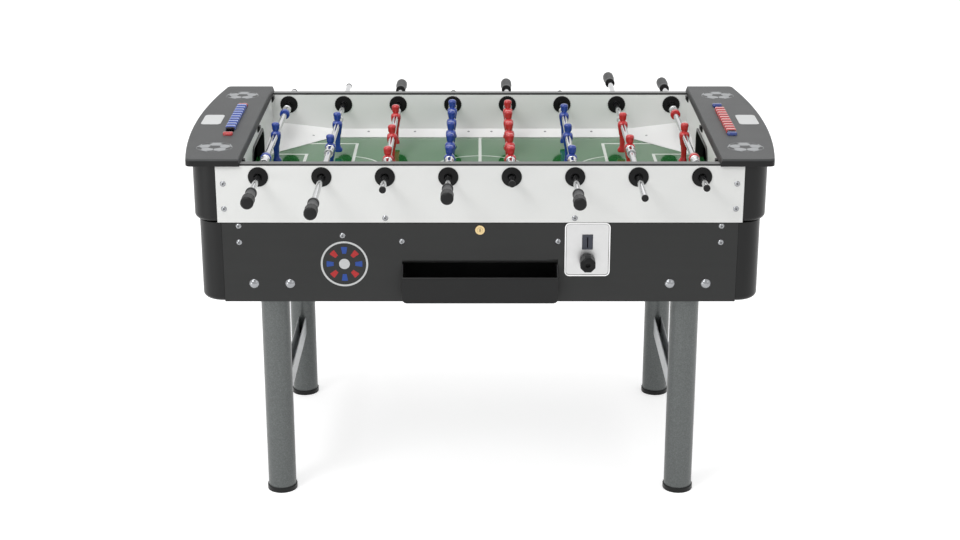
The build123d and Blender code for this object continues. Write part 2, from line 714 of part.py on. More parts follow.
cap_top_edges = [
    edge for edge in cap.edges().group_by(Axis.Z)[-1] if (edge @ 0.5).X > cap_inner_x + cap_rounding]
cap = fillet(cap_top_edges, cap_rounding)
cap = cap - prism_along_y(
    [(cap_inner_x - overshoot, wall_top + cap_rounding), (cap_inner_x, wall_top + cap_rounding),
     (cap_inner_x + cap_inner_bevel, cap_top + overshoot), (cap_inner_x - overshoot, cap_top + overshoot)],
    -cap_half_y - overshoot, cap_half_y + overshoot)
slot_bottom = cap_top - counter_slot_depth
foot_top = slot_bottom + counter_foot_height
bead_row_length = bead_count * bead_length + (bead_count - 1) * bead_gap
bead_room_y = (bead_row_length + bead_travel) / 2 + counter_play
counter_half_y = bead_room_y + counter_stop_length


def counter_block(inset, y0, y1, bottom, top):
    """Section of the counter: a wide foot under a narrower neck, drawn in by an inset."""
    foot_half = counter_slot_width / 2 - inset
    neck_half = counter_neck_width / 2 - inset
    foot_block = block(
        counter_from_centre - foot_half, counter_from_centre + foot_half, y0, y1, bottom, foot_top - inset)
    neck = block(counter_from_centre - neck_half, counter_from_centre + neck_half, y0, y1, bottom, top)
    return foot_block + neck


cap = cap - counter_block(0, -counter_half_y, counter_half_y, slot_bottom, cap_top + overshoot)


def counter_piece(y0, y1, inset):
    """Bead or end block: a rounded head above the cap on a foot in the slot."""
    head_bottom = cap_top + inset
    head = block(
        counter_from_centre - bead_width / 2, counter_from_centre + bead_width / 2, y0, y1,
        head_bottom, cap_top + bead_proud)
    head = fillet(head.edges().group_by(Axis.Z)[-1], bead_rounding)
    return head + counter_block(inset, y0, y1, slot_bottom + inset, head_bottom)


front_stop = counter_piece(-counter_half_y, counter_stop_length - counter_half_y, 0)
beads = []
for index in range(bead_count):
    bead_start = bead_room_y - counter_play - (index + 1) * bead_length - index * bead_gap
    beads.append(counter_piece(bead_start, bead_start + bead_length, counter_play))
left_beads = [mirror(bead, about=Plane.YZ) for bead in beads]
right_beads = [mirror(bead, about=Plane.XZ) for bead in beads]

# Rod bushings in the long walls: a flanged sleeve from outside, held by a round nut on the inside.
bushing = bar_along_y(0, rod_z, bushing_diameter, -box_half_y - bushing_flange, -box_half_y)
bushing += bar_along_y(0, rod_z, bushing_hub_diameter, -bushing_outer_y, -box_half_y)
bushing += bar_along_y(0, rod_z, bushing_barrel_diameter, -box_half_y, -bushing_inner_y)
rod_running_bore = rod_diameter + 2 * running_clearance
bushing -= bar_along_y(
    0, rod_z, rod_running_bore, -bushing_outer_y - overshoot, -bushing_inner_y + overshoot)
bushing_nut_ring = bar_along_y(0, rod_z, bushing_diameter, -half_pitch_y, -bushing_inner_y)
bushing_nut_ring -= bar_along_y(
    0, rod_z, bushing_barrel_diameter, -half_pitch_y - overshoot, -bushing_inner_y + overshoot)
bushings = [
    copy for x in rod_positions for piece in (bushing, bushing_nut_ring)
    for copy in front_and_rear(Pos(x, 0, 0) * piece)]

# Figure: head, torso and legs in one moulding round the rod, facing +X.
torso_sections = [
    Pos(0, 0, -figure_waist_drop) * RectangleRounded(figure_waist_depth, figure_waist_width, figure_corner),
    RectangleRounded(figure_depth, figure_chest_width, figure_corner),
    Pos(0, 0, figure_shoulder_rise) * RectangleRounded(figure_waist_depth, figure_width, figure_corner),
    Pos(0, 0, figure_neck_rise) * RectangleRounded(figure_neck_size, figure_neck_size, figure_corner)]
leg_sections = [
    Pos(0, 0, -figure_waist_drop) * RectangleRounded(
        figure_waist_depth, figure_waist_width, figure_leg_corner),
    Pos(0, 0, -figure_ankle_drop) * RectangleRounded(figure_leg_depth, figure_leg_width, figure_leg_corner)]
foot_half_y = figure_foot_width / 2
foot = prism_along_y(
    [(-figure_leg_depth / 2, -figure_ankle_drop), (figure_leg_depth / 2, -figure_ankle_drop),
     (figure_toe, figure_toe_rise - figure_foot_drop), (figure_heel, -figure_foot_drop),
     (-figure_heel, -figure_foot_drop), (-figure_heel, figure_toe_rise - figure_foot_drop)],
    -foot_half_y, foot_half_y)
figure = loft(torso_sections, ruled=True) + loft(leg_sections, ruled=True) + foot
figure += Pos(0, 0, figure_head_rise) * Sphere(figure_head_diameter / 2)
figure -= bar_along_y(0, 0, rod_diameter, -figure_width, figure_width)

# Stop ring, buffer sleeve, grip and plug of a rod, each along Y from its inner end.
stop_ring = bar_along_y(0, 0, stop_ring_diameter, -stop_ring_length / 2, stop_ring_length / 2)
stop_ring -= bar_along_y(0, 0, rod_diameter, -stop_ring_length, stop_ring_length)
buffer = bar_along_y(0, 0, buffer_diameter, 0, buffer_length)
buffer -= bar_along_y(0, 0, rod_running_bore, -overshoot, buffer_length + overshoot)
grip_waist_end = grip_length - grip_end_length
grip_profile = Polyline(
    (0, 0), (grip_collar_diameter / 2, 0), (grip_collar_diameter / 2, grip_collar_length),
    (grip_waist_diameter / 2, grip_collar_length), (grip_waist_diameter / 2, grip_waist_length),
    (grip_end_diameter / 2, grip_waist_end), (grip_end_diameter / 2, grip_length), (0, grip_length),
    close=True)
grip = revolve(make_face(grip_profile), axis=Axis.Y)
grip = fillet(grip.edges().group_by(Axis.Y)[-1], grip_end_rounding)
grip_socket = grip_length - grip_floor
grip -= bar_along_y(0, 0, rod_diameter, -overshoot, grip_socket)
plug = bar_along_y(0, 0, plug_diameter, 0, plug_head)
plug = fillet(plug.edges().group_by(Axis.Y)[-1], plug_rounding)
plug += bar_along_y(0, 0, rod_bore, -plug_spigot, 0)


def rod_stroke(row):
    """Stroke of a rod from the middle until a buffer meets its bushing, and where that buffer starts."""
    outermost = (row["figures"] - 1) / 2 * row["spacing"] + figure_width / 2
    if row["figures"] == 1:
        outermost = stop_ring_from_figure + stop_ring_length / 2
    buffer_start = outermost + buffer_gap
    return bushing_inner_y - buffer_stop_gap - buffer_start - buffer_length, buffer_start


os.makedirs("parts", exist_ok=True)

save("front_panel", front_panel)
save("cabinet_panels", rear_panel, *left_and_right(end_panel))
save("floor_panel", floor_panel)
save("lower_corner_posts", *four_corners(lower_post))
save("leg_tubes", *four_corners(leg_tube))
save("foot_caps", *four_corners(foot_cap))
save("leg_brackets", *four_corners(leg_plate), *left_and_right(brace))
save("cabinet_bolts", *leg_bolts, *corner_screws, *middle_screws, *rear_screws)
save("ball_tray", tray)
save("ball_return", chute, *left_and_right(trough))
save("coin_plate", coin_plate)
save("coin_entry", coin_entry)
save("coin_knob", knob_place * knob, knob_place * (knob_shaft + release_arm))
save("lock_housing", lock_housing)
save("key_lock", key_lock)
hinge_places = [Pos(x, 0, 0) for x in (-hinge_spacing, 0, hinge_spacing)]
save("hinge_fixed_leaves", *[place * piece for place in hinge_places for piece in (fixed_leaf, hinge_pin)])
rear_wall_screws = [mirror(screw, about=Plane.XZ) for screw in wall_screws]
save("lid_fittings", *[place * moving_leaf for place in hinge_places], catch, *wall_screws, *rear_wall_screws)
save("box_walls", *front_and_rear(long_wall), *left_and_right(goal_wall), *left_and_right(outer_end))
save("upper_corner_posts", *four_corners(upper_post))
save("pitch_board", pitch_board, batten - batten_gap, mirror(batten, about=Plane.XZ))
save("banks_and_ramps", *front_and_rear(bank), *four_corners(ramp))
save("goal_frames", *left_and_right(goal_frame))
save("top_rails", *front_and_rear(rail))
save("end_caps", *left_and_right(cap))
save("rod_bushings", *bushings)
save("score_stops", *four_corners(front_stop))
save("score_beads_left", *left_beads)
save("score_beads_right", *right_beads)

for number, (x, row) in enumerate(zip(rod_positions, rod_rows), start=1):
    stroke, buffer_start = rod_stroke(row)
    rest_y = row["rest"] * stroke
    place = Pos(x, rest_y, rod_z)
    plug_end = bushing_outer_y + stroke + row["spare"]
    grip_start = plug_end + grip_from_plug_end
    tube_start = plug_head - plug_end
    tube = bar_along_y(0, 0, rod_diameter, tube_start, grip_start + grip_socket)
    tube -= bar_along_y(0, 0, rod_bore, tube_start - overshoot, grip_start + grip_socket + overshoot)
    far_plug = mirror(Pos(0, -tube_start, 0) * plug, about=Plane.XZ)
    ends = [tube, Pos(0, grip_start, 0) * grip, far_plug]
    if row["grip_side"] < 0:
        ends = [mirror(piece, about=Plane.XZ) for piece in ends]
    tube, placed_grip, placed_plug = ends
    turned = figure if row["facing"] > 0 else mirror(figure, about=Plane.YZ)
    men = [
        Pos(0, (index - (row["figures"] - 1) / 2) * row["spacing"], 0) * turned
        for index in range(row["figures"])]
    if row["figures"] == 1:
        men += front_and_rear(Pos(0, stop_ring_from_figure, 0) * stop_ring)
    save(f"rod_{number}_tube", place * tube)
    save(f"rod_{number}_men", *[place * man for man in men])
    save(f"rod_{number}_grip", place * placed_grip, place * placed_plug)
    save(f"rod_{number}_buffers", *[place * end for end in front_and_rear(Pos(0, buffer_start, 0) * buffer)])
    print(f"rod {number}: stroke {stroke:.1f} mm each way from the middle, rests at {rest_y:.1f} mm")
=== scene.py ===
import json
from itertools import combinations
from math import atan, copysign, cos, exp, pi, radians, sin, sqrt

import bmesh
import bpy
from mathutils import Matrix, Vector
from mathutils.bvhtree import BVHTree

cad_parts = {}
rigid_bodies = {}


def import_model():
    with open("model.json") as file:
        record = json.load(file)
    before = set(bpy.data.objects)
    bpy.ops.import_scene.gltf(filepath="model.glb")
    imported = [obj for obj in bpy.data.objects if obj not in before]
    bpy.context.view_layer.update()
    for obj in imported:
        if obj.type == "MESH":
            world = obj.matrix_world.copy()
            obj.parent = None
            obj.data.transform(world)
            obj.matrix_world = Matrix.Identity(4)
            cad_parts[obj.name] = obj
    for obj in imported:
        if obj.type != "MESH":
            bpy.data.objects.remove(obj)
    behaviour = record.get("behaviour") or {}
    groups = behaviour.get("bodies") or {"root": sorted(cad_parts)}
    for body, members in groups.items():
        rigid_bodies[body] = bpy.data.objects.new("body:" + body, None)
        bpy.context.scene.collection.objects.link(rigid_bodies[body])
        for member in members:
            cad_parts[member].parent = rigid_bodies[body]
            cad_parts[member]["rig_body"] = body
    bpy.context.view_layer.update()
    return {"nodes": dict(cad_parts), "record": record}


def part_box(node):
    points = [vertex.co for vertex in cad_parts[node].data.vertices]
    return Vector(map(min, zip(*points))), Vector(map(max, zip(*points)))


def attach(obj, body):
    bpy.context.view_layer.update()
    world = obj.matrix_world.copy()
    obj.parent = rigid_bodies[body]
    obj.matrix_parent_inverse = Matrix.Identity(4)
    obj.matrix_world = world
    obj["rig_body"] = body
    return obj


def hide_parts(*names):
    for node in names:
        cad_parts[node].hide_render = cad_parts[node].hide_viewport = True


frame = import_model()


# Cabinet boards. The front, rear, end and floor boards are chipboard faced with black laminate, sawn square
# and broken along the arrises. They are bolted to the legs and close against the corner posts.
board_arris = 0.0009
window_rounding = 0.0120
face_reach = 0.0002
window_side = 0.0020
window_over = 0.0040
weld_distance = 0.000005
flat_angle = radians(0.5)
crease_angle = radians(35.0)
soft_segments = 8
shade_angle = 40.0
laminate_tones = (0.0135, 0.0140, 0.0138), (0.0205, 0.0212, 0.0208)
scene = bpy.context.scene
slot_of = {part["node"]: part["material_slot"] for part in frame["record"]["subparts"]}


class Strand:
    """Socket of a material: arithmetic on it adds Math nodes, node() adds any other."""

    def __init__(self, tree, socket=None):
        self.tree = tree
        self.socket = socket

    def node(self, kind, inputs, output=0, **settings):
        made = self.tree.nodes.new("ShaderNode" + kind)
        for name, value in settings.items():
            setattr(made, name, value)
        self.feed(made, inputs)
        return Strand(self.tree, made.outputs[output])

    def feed(self, made, inputs):
        for name, value in inputs.items():
            if isinstance(value, Strand):
                self.tree.links.new(value.socket, made.inputs[name])
            else:
                socket = made.inputs[name]
                socket.default_value = (*value, 1.0) if socket.type == "RGBA" else value

    def maths(self, operation, *values, clamp=False):
        return self.node("Math", dict(enumerate(values)), operation=operation, use_clamp=clamp)

    def __add__(self, other):
        return self.maths("ADD", self, other)

    def __sub__(self, other):
        return self.maths("SUBTRACT", self, other)

    def __rsub__(self, other):
        return self.maths("SUBTRACT", other, self)

    def __mul__(self, other):
        return self.maths("MULTIPLY", self, other)

    def __abs__(self):
        return self.maths("ABSOLUTE", self)

    def __pow__(self, other):
        return self.maths("POWER", self, other)

    def most(self, other):
        return self.maths("MAXIMUM", self, other)

    def under(self, edge, softness):
        """1 where the value is under an edge and 0 over it, with a soft step between."""
        return self.maths("MULTIPLY_ADD", edge - self, 1 / softness, 0.5, clamp=True)


def cloudy(place, scale, detail, stretch=(1.0, 1.0, 1.0)):
    """Soft noise, drawn out along the axes whose stretch is small."""
    drawn = place.node("Mapping", {"Vector": place, "Scale": stretch})
    return place.node("TexNoise", {"Vector": drawn, "Scale": scale, "Detail": detail})


def tone(mask, low, high):
    """Colour between two colours."""
    return mask.node("Mix", {0: mask, 6: low, 7: high}, 2, data_type="RGBA")


def between(mask, low, high):
    """Number between two numbers."""
    return mask * (high - low) + low


def painted(colour, roughness, height, depth):
    """Inputs of a shader; a height from 0 to 1 is worth a depth in metres."""
    normal = height.node("Bump", {"Height": height, "Distance": depth})
    return {"Base Color": colour, "Roughness": roughness, "Normal": normal}


def surface(name, constants, paint):
    """Material with constants on its shader and what paint() gives for a point."""
    made = bpy.data.materials.new(name)
    made.use_nodes = True
    shader = made.node_tree.nodes["Principled BSDF"]
    place = Strand(made.node_tree).node("TexCoord", {}, "Object")
    place.feed(shader, {**constants, **paint(place)})
    return made


def laminated(place):
    """Printed laminate: a faint streaky tone along X, fine pores, and a few rubbed patches."""
    streaks = cloudy(place, 55.0, 7.0, (0.08, 1.0, 1.0))
    pores = cloudy(place, 1100.0, 2.0)
    rubbed = cloudy(place, 9.0, 5.0)
    colour = tone(streaks * 0.6 + rubbed * 0.4, *laminate_tones)
    return painted(colour, between(pores * 0.5 + rubbed * 0.5, 0.38, 0.54), pores, 0.00005)


def show(name, mesh, material, body, place=Matrix.Identity(4), node=None):
    """Object with a mesh that rides on a body and may stand for a CAD node."""
    if not mesh.materials:
        mesh.materials.append(material)
    made = bpy.data.objects.new(name, mesh)
    made.matrix_world = place
    scene.collection.objects.link(made)
    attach(made, body)
    if node:
        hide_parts(node)
    return made


def dress(node, name, mesh, material, place=Matrix.Identity(4)):
    """Object that stands for a CAD node, on its body and with the material given."""
    return show(name, mesh, material, frame["nodes"][node]["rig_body"], place, node)


def mesh_from(name, work, sharp=35.0):
    """Mesh shaded smooth except at edges sharper than an angle in degrees."""
    bmesh.ops.recalc_face_normals(work, faces=work.faces)
    mesh = bpy.data.meshes.new(name)
    work.to_mesh(mesh)
    work.free()
    mesh.shade_smooth()
    mesh.set_sharp_from_angle(angle=radians(sharp))
    return mesh


def round_over(work, edges, radius, segments):
    """Rounds edges of a bmesh to a radius."""
    bmesh.ops.bevel(
        work, geom=edges, offset=radius, segments=segments, profile=0.5, affect="EDGES", clamp_overlap=True)


def welded(node):
    """Bmesh of a CAD node with its split corners joined."""
    work = bmesh.new()
    work.from_mesh(frame["nodes"][node].data)
    bmesh.ops.remove_doubles(work, verts=work.verts, dist=weld_distance)
    return work


def eased(node, name, material, arris=0.0, segments=3, soft=None, soft_radius=0.0):
    """CAD node with flat facets joined, sharp arrises rounded over and soft edges more so."""
    work = welded(node)
    bmesh.ops.dissolve_limit(work, angle_limit=flat_angle, verts=work.verts, edges=work.edges)
    if soft:
        round_over(work, [edge for edge in work.edges if soft(edge)], soft_radius, soft_segments)
    if arris:
        sharp = [edge for edge in work.edges if edge.calc_face_angle(0.0) > crease_angle]
        round_over(work, sharp, arris, segments)
    made = dress(node, name, mesh_from(name, work, shade_angle), material)
    made.modifiers.new("flat_faces", "WEIGHTED_NORMAL").keep_sharp = True
    return made


def over_tray(edge):
    """True for the front edge of the board that runs over the tray's window."""
    return all(vert.co.y < board_face_y + face_reach and abs(vert.co.x) < tray_high.x + window_side
               and abs(vert.co.z - tray_high.z) < window_over for vert in edge.verts)


board_face_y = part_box("front_panel")[0].y
tray_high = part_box("ball_tray")[1]
black_laminate = surface("black_laminate", {"Specular IOR Level": 0.35}, laminated)
eased("front_panel", "front_board", black_laminate, board_arris, 3, over_tray, window_rounding)
eased("cabinet_panels", "rear_and_end_boards", black_laminate, board_arris)
eased("floor_panel", "cabinet_floor", black_laminate, board_arris)


# Corner posts of the cabinet. Each is one hollow black moulding that wraps the corner, rounded at its foot,
# and is screwed to the boards from inside.
post_arris = 0.0012
moulding_tones = (0.0075, 0.0077, 0.0079), (0.0135, 0.0138, 0.0140)


def grained(place, scale):
    """Eroded grain of a moulding, and how pale and how dull grain and polish leave it."""
    grain = cloudy(place, scale, 3.0)
    polished = cloudy(place, 14.0, 4.0)
    return grain, grain * 0.45 + polished * 0.55, polished * 0.6 + grain * 0.4


def moulding(name, tones, roughness, grain_scale, grain_depth, specular=0.4):
    """Moulded plastic with a grain, a little lighter where it is polished by use."""
    def paint(place):
        grain, pale, dull = grained(place, grain_scale)
        return painted(
            tone(pale, *tones), between(dull, roughness - 0.1, roughness + 0.1), grain, grain_depth)
    return surface(name, {"Specular IOR Level": specular}, paint)


black_moulding = moulding("black_moulding", moulding_tones, 0.34, 1500.0, 0.00006, 0.24)
eased("lower_corner_posts", "cabinet_corner_posts", black_moulding, post_arris)


# Legs. Round steel tubes in grey hammered paint stand in black moulded foot caps. A plate behind each pair
# of bolts holds the leg to its board, and a light grey channel ties the front leg to the rear one.
# Leg paint tones: the dark end is painted shade in the dimple hollows, the light end a painted highlight on
# their rims.
hammer_dimple_shade_tones = (0.074, 0.080, 0.079), (0.146, 0.157, 0.155)
foot_rounding = 0.0022
bracket_arris = 0.0006
bracket_tones = (0.60, 0.62, 0.63), (0.70, 0.72, 0.73)


def hammered(place):
    """Paint drawn into small dimples, with painted shade darkening their hollows and a painted highlight
    paling their rims.
    """
    warp = cloudy(place, 120.0, 2.0)
    cells = place.node("TexVoronoi", {"Vector": place, "Scale": 330.0}, feature="SMOOTH_F1")
    speck = cloudy(place, 700.0, 2.0)
    height = cells * 0.7 + warp * 0.3
    # Colour follows the dimples' height: painted shade in the hollows and a painted highlight on the rims,
    # mixed with random specks.
    return painted(
        tone((height * 0.9 + speck * 0.5 - 0.25) * 1.3, *hammer_dimple_shade_tones),
        between(speck, 0.28, 0.44), height, 0.00022)


def coat(node, material):
    """Gives a CAD node its finish."""
    mesh = frame["nodes"][node].data
    mesh.materials.clear()
    mesh.materials.append(material)


def powdered(place):
    """Powder paint on sheet steel, with a faint orange peel."""
    peel = cloudy(place, 420.0, 2.0)
    patches = cloudy(place, 12.0, 4.0)
    return painted(tone(patches, *bracket_tones), between(patches, 0.32, 0.44), peel, 0.00008)


coat("leg_tubes", surface("hammered_grey", {"Metallic": 0.55, "Coat Weight": 0.10}, hammered))
eased("foot_caps", "foot_mouldings", black_moulding, foot_rounding, 4)
grey_steel = surface("grey_steel", {"Coat Roughness": 0.2}, powdered)
eased("leg_brackets", "leg_plates_and_braces", grey_steel, bracket_arris)


# Bolts and screws of the cabinet. Zinc plated steel: domed coach bolts beside each leg, with nuts behind,
# and small domed screws through the boards.
zinc_tones = (0.17, 0.175, 0.185), (0.44, 0.45, 0.465)
# Near-black tones of painted shade, for the crosses that stand in for recesses in the screw heads.
recess_shade_tones = (0.020, 0.020, 0.021), (0.050, 0.050, 0.052)
small_head = 0.0145
recess_arm = 0.0027
recess_half = 0.0006
recess_depth = 0.0008
moved = Matrix.Translation


def metal(name, tones, roughness, stretch=(1.0, 1.0, 1.0), depth=0.00002):
    """Bare or plated metal with hairline scratches one way and dull smudges."""
    def paint(place):
        hairlines = cloudy(place, 1600.0, 3.0, stretch)
        smudges = cloudy(place, 45.0, 4.0)
        return painted(
            tone(smudges * 0.6 + hairlines * 0.4, *tones),
            between(smudges * 0.5 + hairlines * 0.5, roughness * 0.6, roughness * 1.4), hairlines, depth)
    return surface(name, {"Metallic": 1.0}, paint)


def solids_of(node):
    """Lowest and highest corner of each separate solid in a CAD node."""
    work = welded(node)
    waiting = dict.fromkeys(work.verts)
    boxes = []
    while waiting:
        reached = [next(iter(waiting))]
        del waiting[reached[0]]
        for vert in reached:
            for edge in vert.link_edges:
                other = edge.other_vert(vert)
                if other in waiting:
                    del waiting[other]
                    reached.append(other)
        boxes.append([Vector([pick(vert.co[axis] for vert in reached) for axis in range(3)])
                      for pick in (min, max)])
    work.free()
    return boxes


def lofted(name, stacks, sharp=35.0, bored=False, rounding=0.0):
    """Mesh over stacks of rings, closed at both ends or, if bored, back to the first ring."""
    work = bmesh.new()
    for rings in stacks:
        made = [[work.verts.new(point) for point in ring] for ring in rings]
        for first, second in zip(made, made[1:] + made[:1] if bored else made[1:]):
            for index in range(len(first)):
                after = (index + 1) % len(first)
                work.faces.new((first[index], first[after], second[after], second[index]))
        if not bored:
            work.faces.new(list(reversed(made[0])))
            work.faces.new(made[-1])
    if rounding:
        round_over(work, work.edges[:], rounding, 2)
    return mesh_from(name, work, sharp)


def printed(name, outlines, thickness, rounding=0.0):
    """Flat pieces in the XY plane, from Z 0 up to their thickness, with rounded edges if asked."""
    stacks = [[[(x, y, z) for x, y in outline] for z in (0.0, thickness)] for outline in outlines]
    return lofted(name, stacks, rounding=rounding)


def cross_recess_shade(node, name):
    """Flat dark crosses in the small screw heads of a CAD node, front and rear: painted shade standing in
    for cross recesses.
    """
    for end_name, facing in (("front", 1), ("rear", -1)):
        piece = f"{name}_{end_name}"
        outlines = []
        tips = []
        for low, high in solids_of(node):
            tip = low.y if facing > 0 else high.y
            if high.x - low.x < small_head and tip * facing < 0:
                x, z = (low.x + high.x) / 2, (low.z + high.z) / 2
                corners = [
                    (recess_half, recess_half), (recess_half, recess_arm), (-recess_half, recess_arm)]
                outlines.append([])
                for _ in range(4):
                    outlines[-1] += [(x + px, z * facing + py) for px, py in corners]
                    corners = [(-py, px) for px, py in corners]
                tips.append(tip)
        turn = Matrix.Rotation(facing * pi / 2, 4, "X")
        show(piece, printed(piece, outlines, recess_depth), recess_shade, frame["nodes"][node]["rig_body"],
             moved((0.0, tips[0] + facing * recess_depth, 0.0)) @ turn)


zinc_steel = metal("zinc_steel", zinc_tones, 0.20)
recess_shade = metal("recess_shade", recess_shade_tones, 0.5)
coat("cabinet_bolts", zinc_steel)
# Painted shade: flat dark crosses on the small screw heads stand in for their recesses.
cross_recess_shade("cabinet_bolts", "cabinet_screw_recess_shade")


# Ball tray. One black injection moulding that hangs in the window of the front board, with a soft lip in
# front and an open top where a hand takes the ball.
tray_rounding = 0.0016
eased("ball_tray", "ball_tray_moulding", black_moulding, tray_rounding, 4)


# Ball return. Grey plastic sheet, folded and welded: a trough under each goal and a chute to the tray. It
# lies inside the cabinet and is screwed to its boards.
return_tones = (0.20, 0.205, 0.21), (0.30, 0.305, 0.31)
coat("ball_return", moulding("return_grey", return_tones, 0.5, 500.0, 0.00005))


# Roundel on the front board. A printed transfer, a fifth of a millimetre thick: a pale ring, eight short
# bars in the two team colours and a plain dot in the middle.
print_thickness = 0.0002
roundel_x = -0.326
roundel_z = 0.618
roundel_radius = 0.057
ring_width = 0.0045
ring_inner = roundel_radius - ring_width
bar_inner = 0.026
bar_outer = 0.043
bar_half = radians(10.0)
dot_radius = 0.013
pale_tones = (0.50, 0.51, 0.51), (0.66, 0.67, 0.67)
blue_tones = (0.012, 0.050, 0.26), (0.020, 0.075, 0.36)
red_tones = (0.36, 0.016, 0.018), (0.50, 0.026, 0.026)


def arc(x, y, radius, start, end, steps):
    """Points of an arc about a middle."""
    angles = [start + (end - start) * step / steps for step in range(steps + 1)]
    return [(x + radius * cos(angle), y + radius * sin(angle)) for angle in angles]


def turned(name, profile, steps, shape=None, bored=False):
    """Piece turned about Y from (y, radius) points; shape() may alter a radius round the turn."""
    rings = []
    for y, radius in profile:
        ring = []
        for step in range(steps):
            angle = 2 * pi * step / steps
            drawn = shape(y, radius, angle) if shape else radius
            ring.append((drawn * cos(angle), y, drawn * sin(angle)))
        rings.append(ring)
    return lofted(name, [rings], bored=bored)


pale_ink = moulding("pale_ink", pale_tones, 0.42, 900.0, 0.00003)
blue_ink = moulding("blue_ink", blue_tones, 0.42, 900.0, 0.00003)
red_ink = moulding("red_ink", red_tones, 0.42, 900.0, 0.00003)
ring = turned("roundel_ring", [
    (0.0, ring_inner), (0.0, roundel_radius), (-print_thickness, roundel_radius),
    (-print_thickness, ring_inner)], 96, bored=True)
dot = [arc(0.0, 0.0, dot_radius, 0.0, 2 * pi, 48)[:-1]]
bars = [arc(0.0, 0.0, bar_outer, middle - bar_half, middle + bar_half, 8)
        + arc(0.0, 0.0, bar_inner, middle + bar_half, middle - bar_half, 8)
        for middle in [index * pi / 4 for index in range(8)]]
roundel_middle = moved((roundel_x, board_face_y, roundel_z))
upright = Matrix.Rotation(pi / 2, 4, "X")
show("roundel_ring", ring, pale_ink, "base", roundel_middle)
for piece, outlines, ink in (
        ("roundel_dot", dot, pale_ink), ("roundel_blue_bars", bars[0::2], blue_ink),
        ("roundel_red_bars", bars[1::2], red_ink)):
    show(piece, printed(piece, outlines, print_thickness), ink, "base",
         roundel_middle @ upright)


# Coin set. A pressed plate of satin steel with a polished raised rim, lightened by a painted highlight, a
# blue-grey coin entry through it and a black octagonal knob with a socket in its face, on a steel shaft that
# lets the balls go.
plate_arris = 0.0007
plate_corner = 0.0120
plate_rim = 0.0030
plate_line_half = 0.0005
rim_softness = 0.0004
line_softness = 0.0003
entry_arris = 0.0010
knob_arris = 0.0008
knob_front = 0.0100
knob_rim = 0.0088
knob_socket = 0.0080
knob_step = 0.00016
steel_tones = (0.46, 0.46, 0.46), (0.70, 0.70, 0.70)
# Near white of the painted highlight on the plate's rim.
rim_highlight = (0.84, 0.84, 0.84)
line_dark = (0.09, 0.09, 0.095)
entry_tones = (0.026, 0.029, 0.042), (0.050, 0.055, 0.075)
knob_tones = (0.0060, 0.0060, 0.0063), (0.0125, 0.0125, 0.0129)
plate_low, plate_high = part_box("coin_plate")
plate_middle = (plate_low + plate_high) / 2
plate_half = (plate_high - plate_low) / 2
knob_low, knob_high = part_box("coin_knob")
knob_half = (knob_high.x - knob_low.x) / 2
knob_axis = Vector((knob_low.x + knob_half, knob_low.y, knob_high.z - knob_half))


def axis_values(place):
    """X, Y and Z of the point on the surface."""
    split = place.node("SeparateXYZ", {"Vector": place}).socket.node
    return [Strand(place.tree, output) for output in split.outputs]


def plate_finish(place):
    """Satin steel brushed round the knob, with a polished rim lightened by a painted highlight and a dark
    line inside it.
    """
    x, _, z = axis_values(place)
    past_x = (abs(x - plate_middle.x) - (plate_half.x - plate_corner)).most(0.0)
    past_z = (abs(z - plate_middle.z) - (plate_half.z - plate_corner)).most(0.0)
    from_edge = plate_corner - (past_x ** 2.0 + past_z ** 2.0) ** 0.5
    from_knob = ((x - knob_axis.x) ** 2.0 + (z - knob_axis.z) ** 2.0) ** 0.5
    brushed = cloudy(place.node("CombineXYZ", {"X": from_knob}), 1500.0, 3.0)
    smudges = cloudy(place, 40.0, 4.0)
    rim = from_edge.under(plate_rim, rim_softness)
    line = abs(from_edge - (plate_rim + plate_line_half)).under(plate_line_half, line_softness)
    worn = brushed * 0.6 + smudges * 0.4
    # Painted highlight: the rim's colour is lifted almost to white.
    colour = tone(line, tone(rim, tone(worn, *steel_tones), rim_highlight), line_dark)
    return painted(colour, between(worn, 0.26, 0.46), brushed, 0.00002)


def on_knob(edge):
    """True for a sharp edge of the knob, apart from those of its back."""
    return (any(vert.co.y < knob_axis.y + knob_front for vert in edge.verts)
            and edge.calc_face_angle(0.0) > crease_angle)


plate_steel = surface("bright_steel", {"Metallic": 1.0}, plate_finish)
eased("coin_plate", "coin_plate_pressing", plate_steel, plate_arris)
eased("coin_entry", "coin_entry_moulding", moulding("entry_grey", entry_tones, 0.34, 1300.0, 0.00005),
      entry_arris)
knob_finish = moulding("knob_black", knob_tones, 0.36, 1300.0, 0.00005, 0.16)
knob = eased("coin_knob", "coin_knob_moulding", knob_finish, soft=on_knob, soft_radius=knob_arris)
work = bmesh.new()
work.from_mesh(knob.data)
knob_face = min(work.faces, key=lambda face: face.calc_center_median().y)
for step_in in (knob_rim, knob_step):
    bmesh.ops.inset_individual(work, faces=[knob_face], thickness=step_in)
bmesh.ops.translate(work, vec=(0.0, knob_socket, 0.0), verts=knob_face.verts)
work.to_mesh(knob.data)
work.free()
knob.data.set_sharp_from_angle(angle=radians(shade_angle))


# Lock. Turned brass: a flanged housing set through the front board, and a plug with a key slot that turns
# in it and carries the cam behind the board.
brass_tones = (0.50, 0.365, 0.17), (0.74, 0.59, 0.34)
# Dark brown of the painted shade inside the key slot.
keyhole_shade_colour = (0.030, 0.022, 0.012)
slot_shade = 0.0010
lock_arris = 0.0004
plug_face_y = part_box("key_lock")[0].y


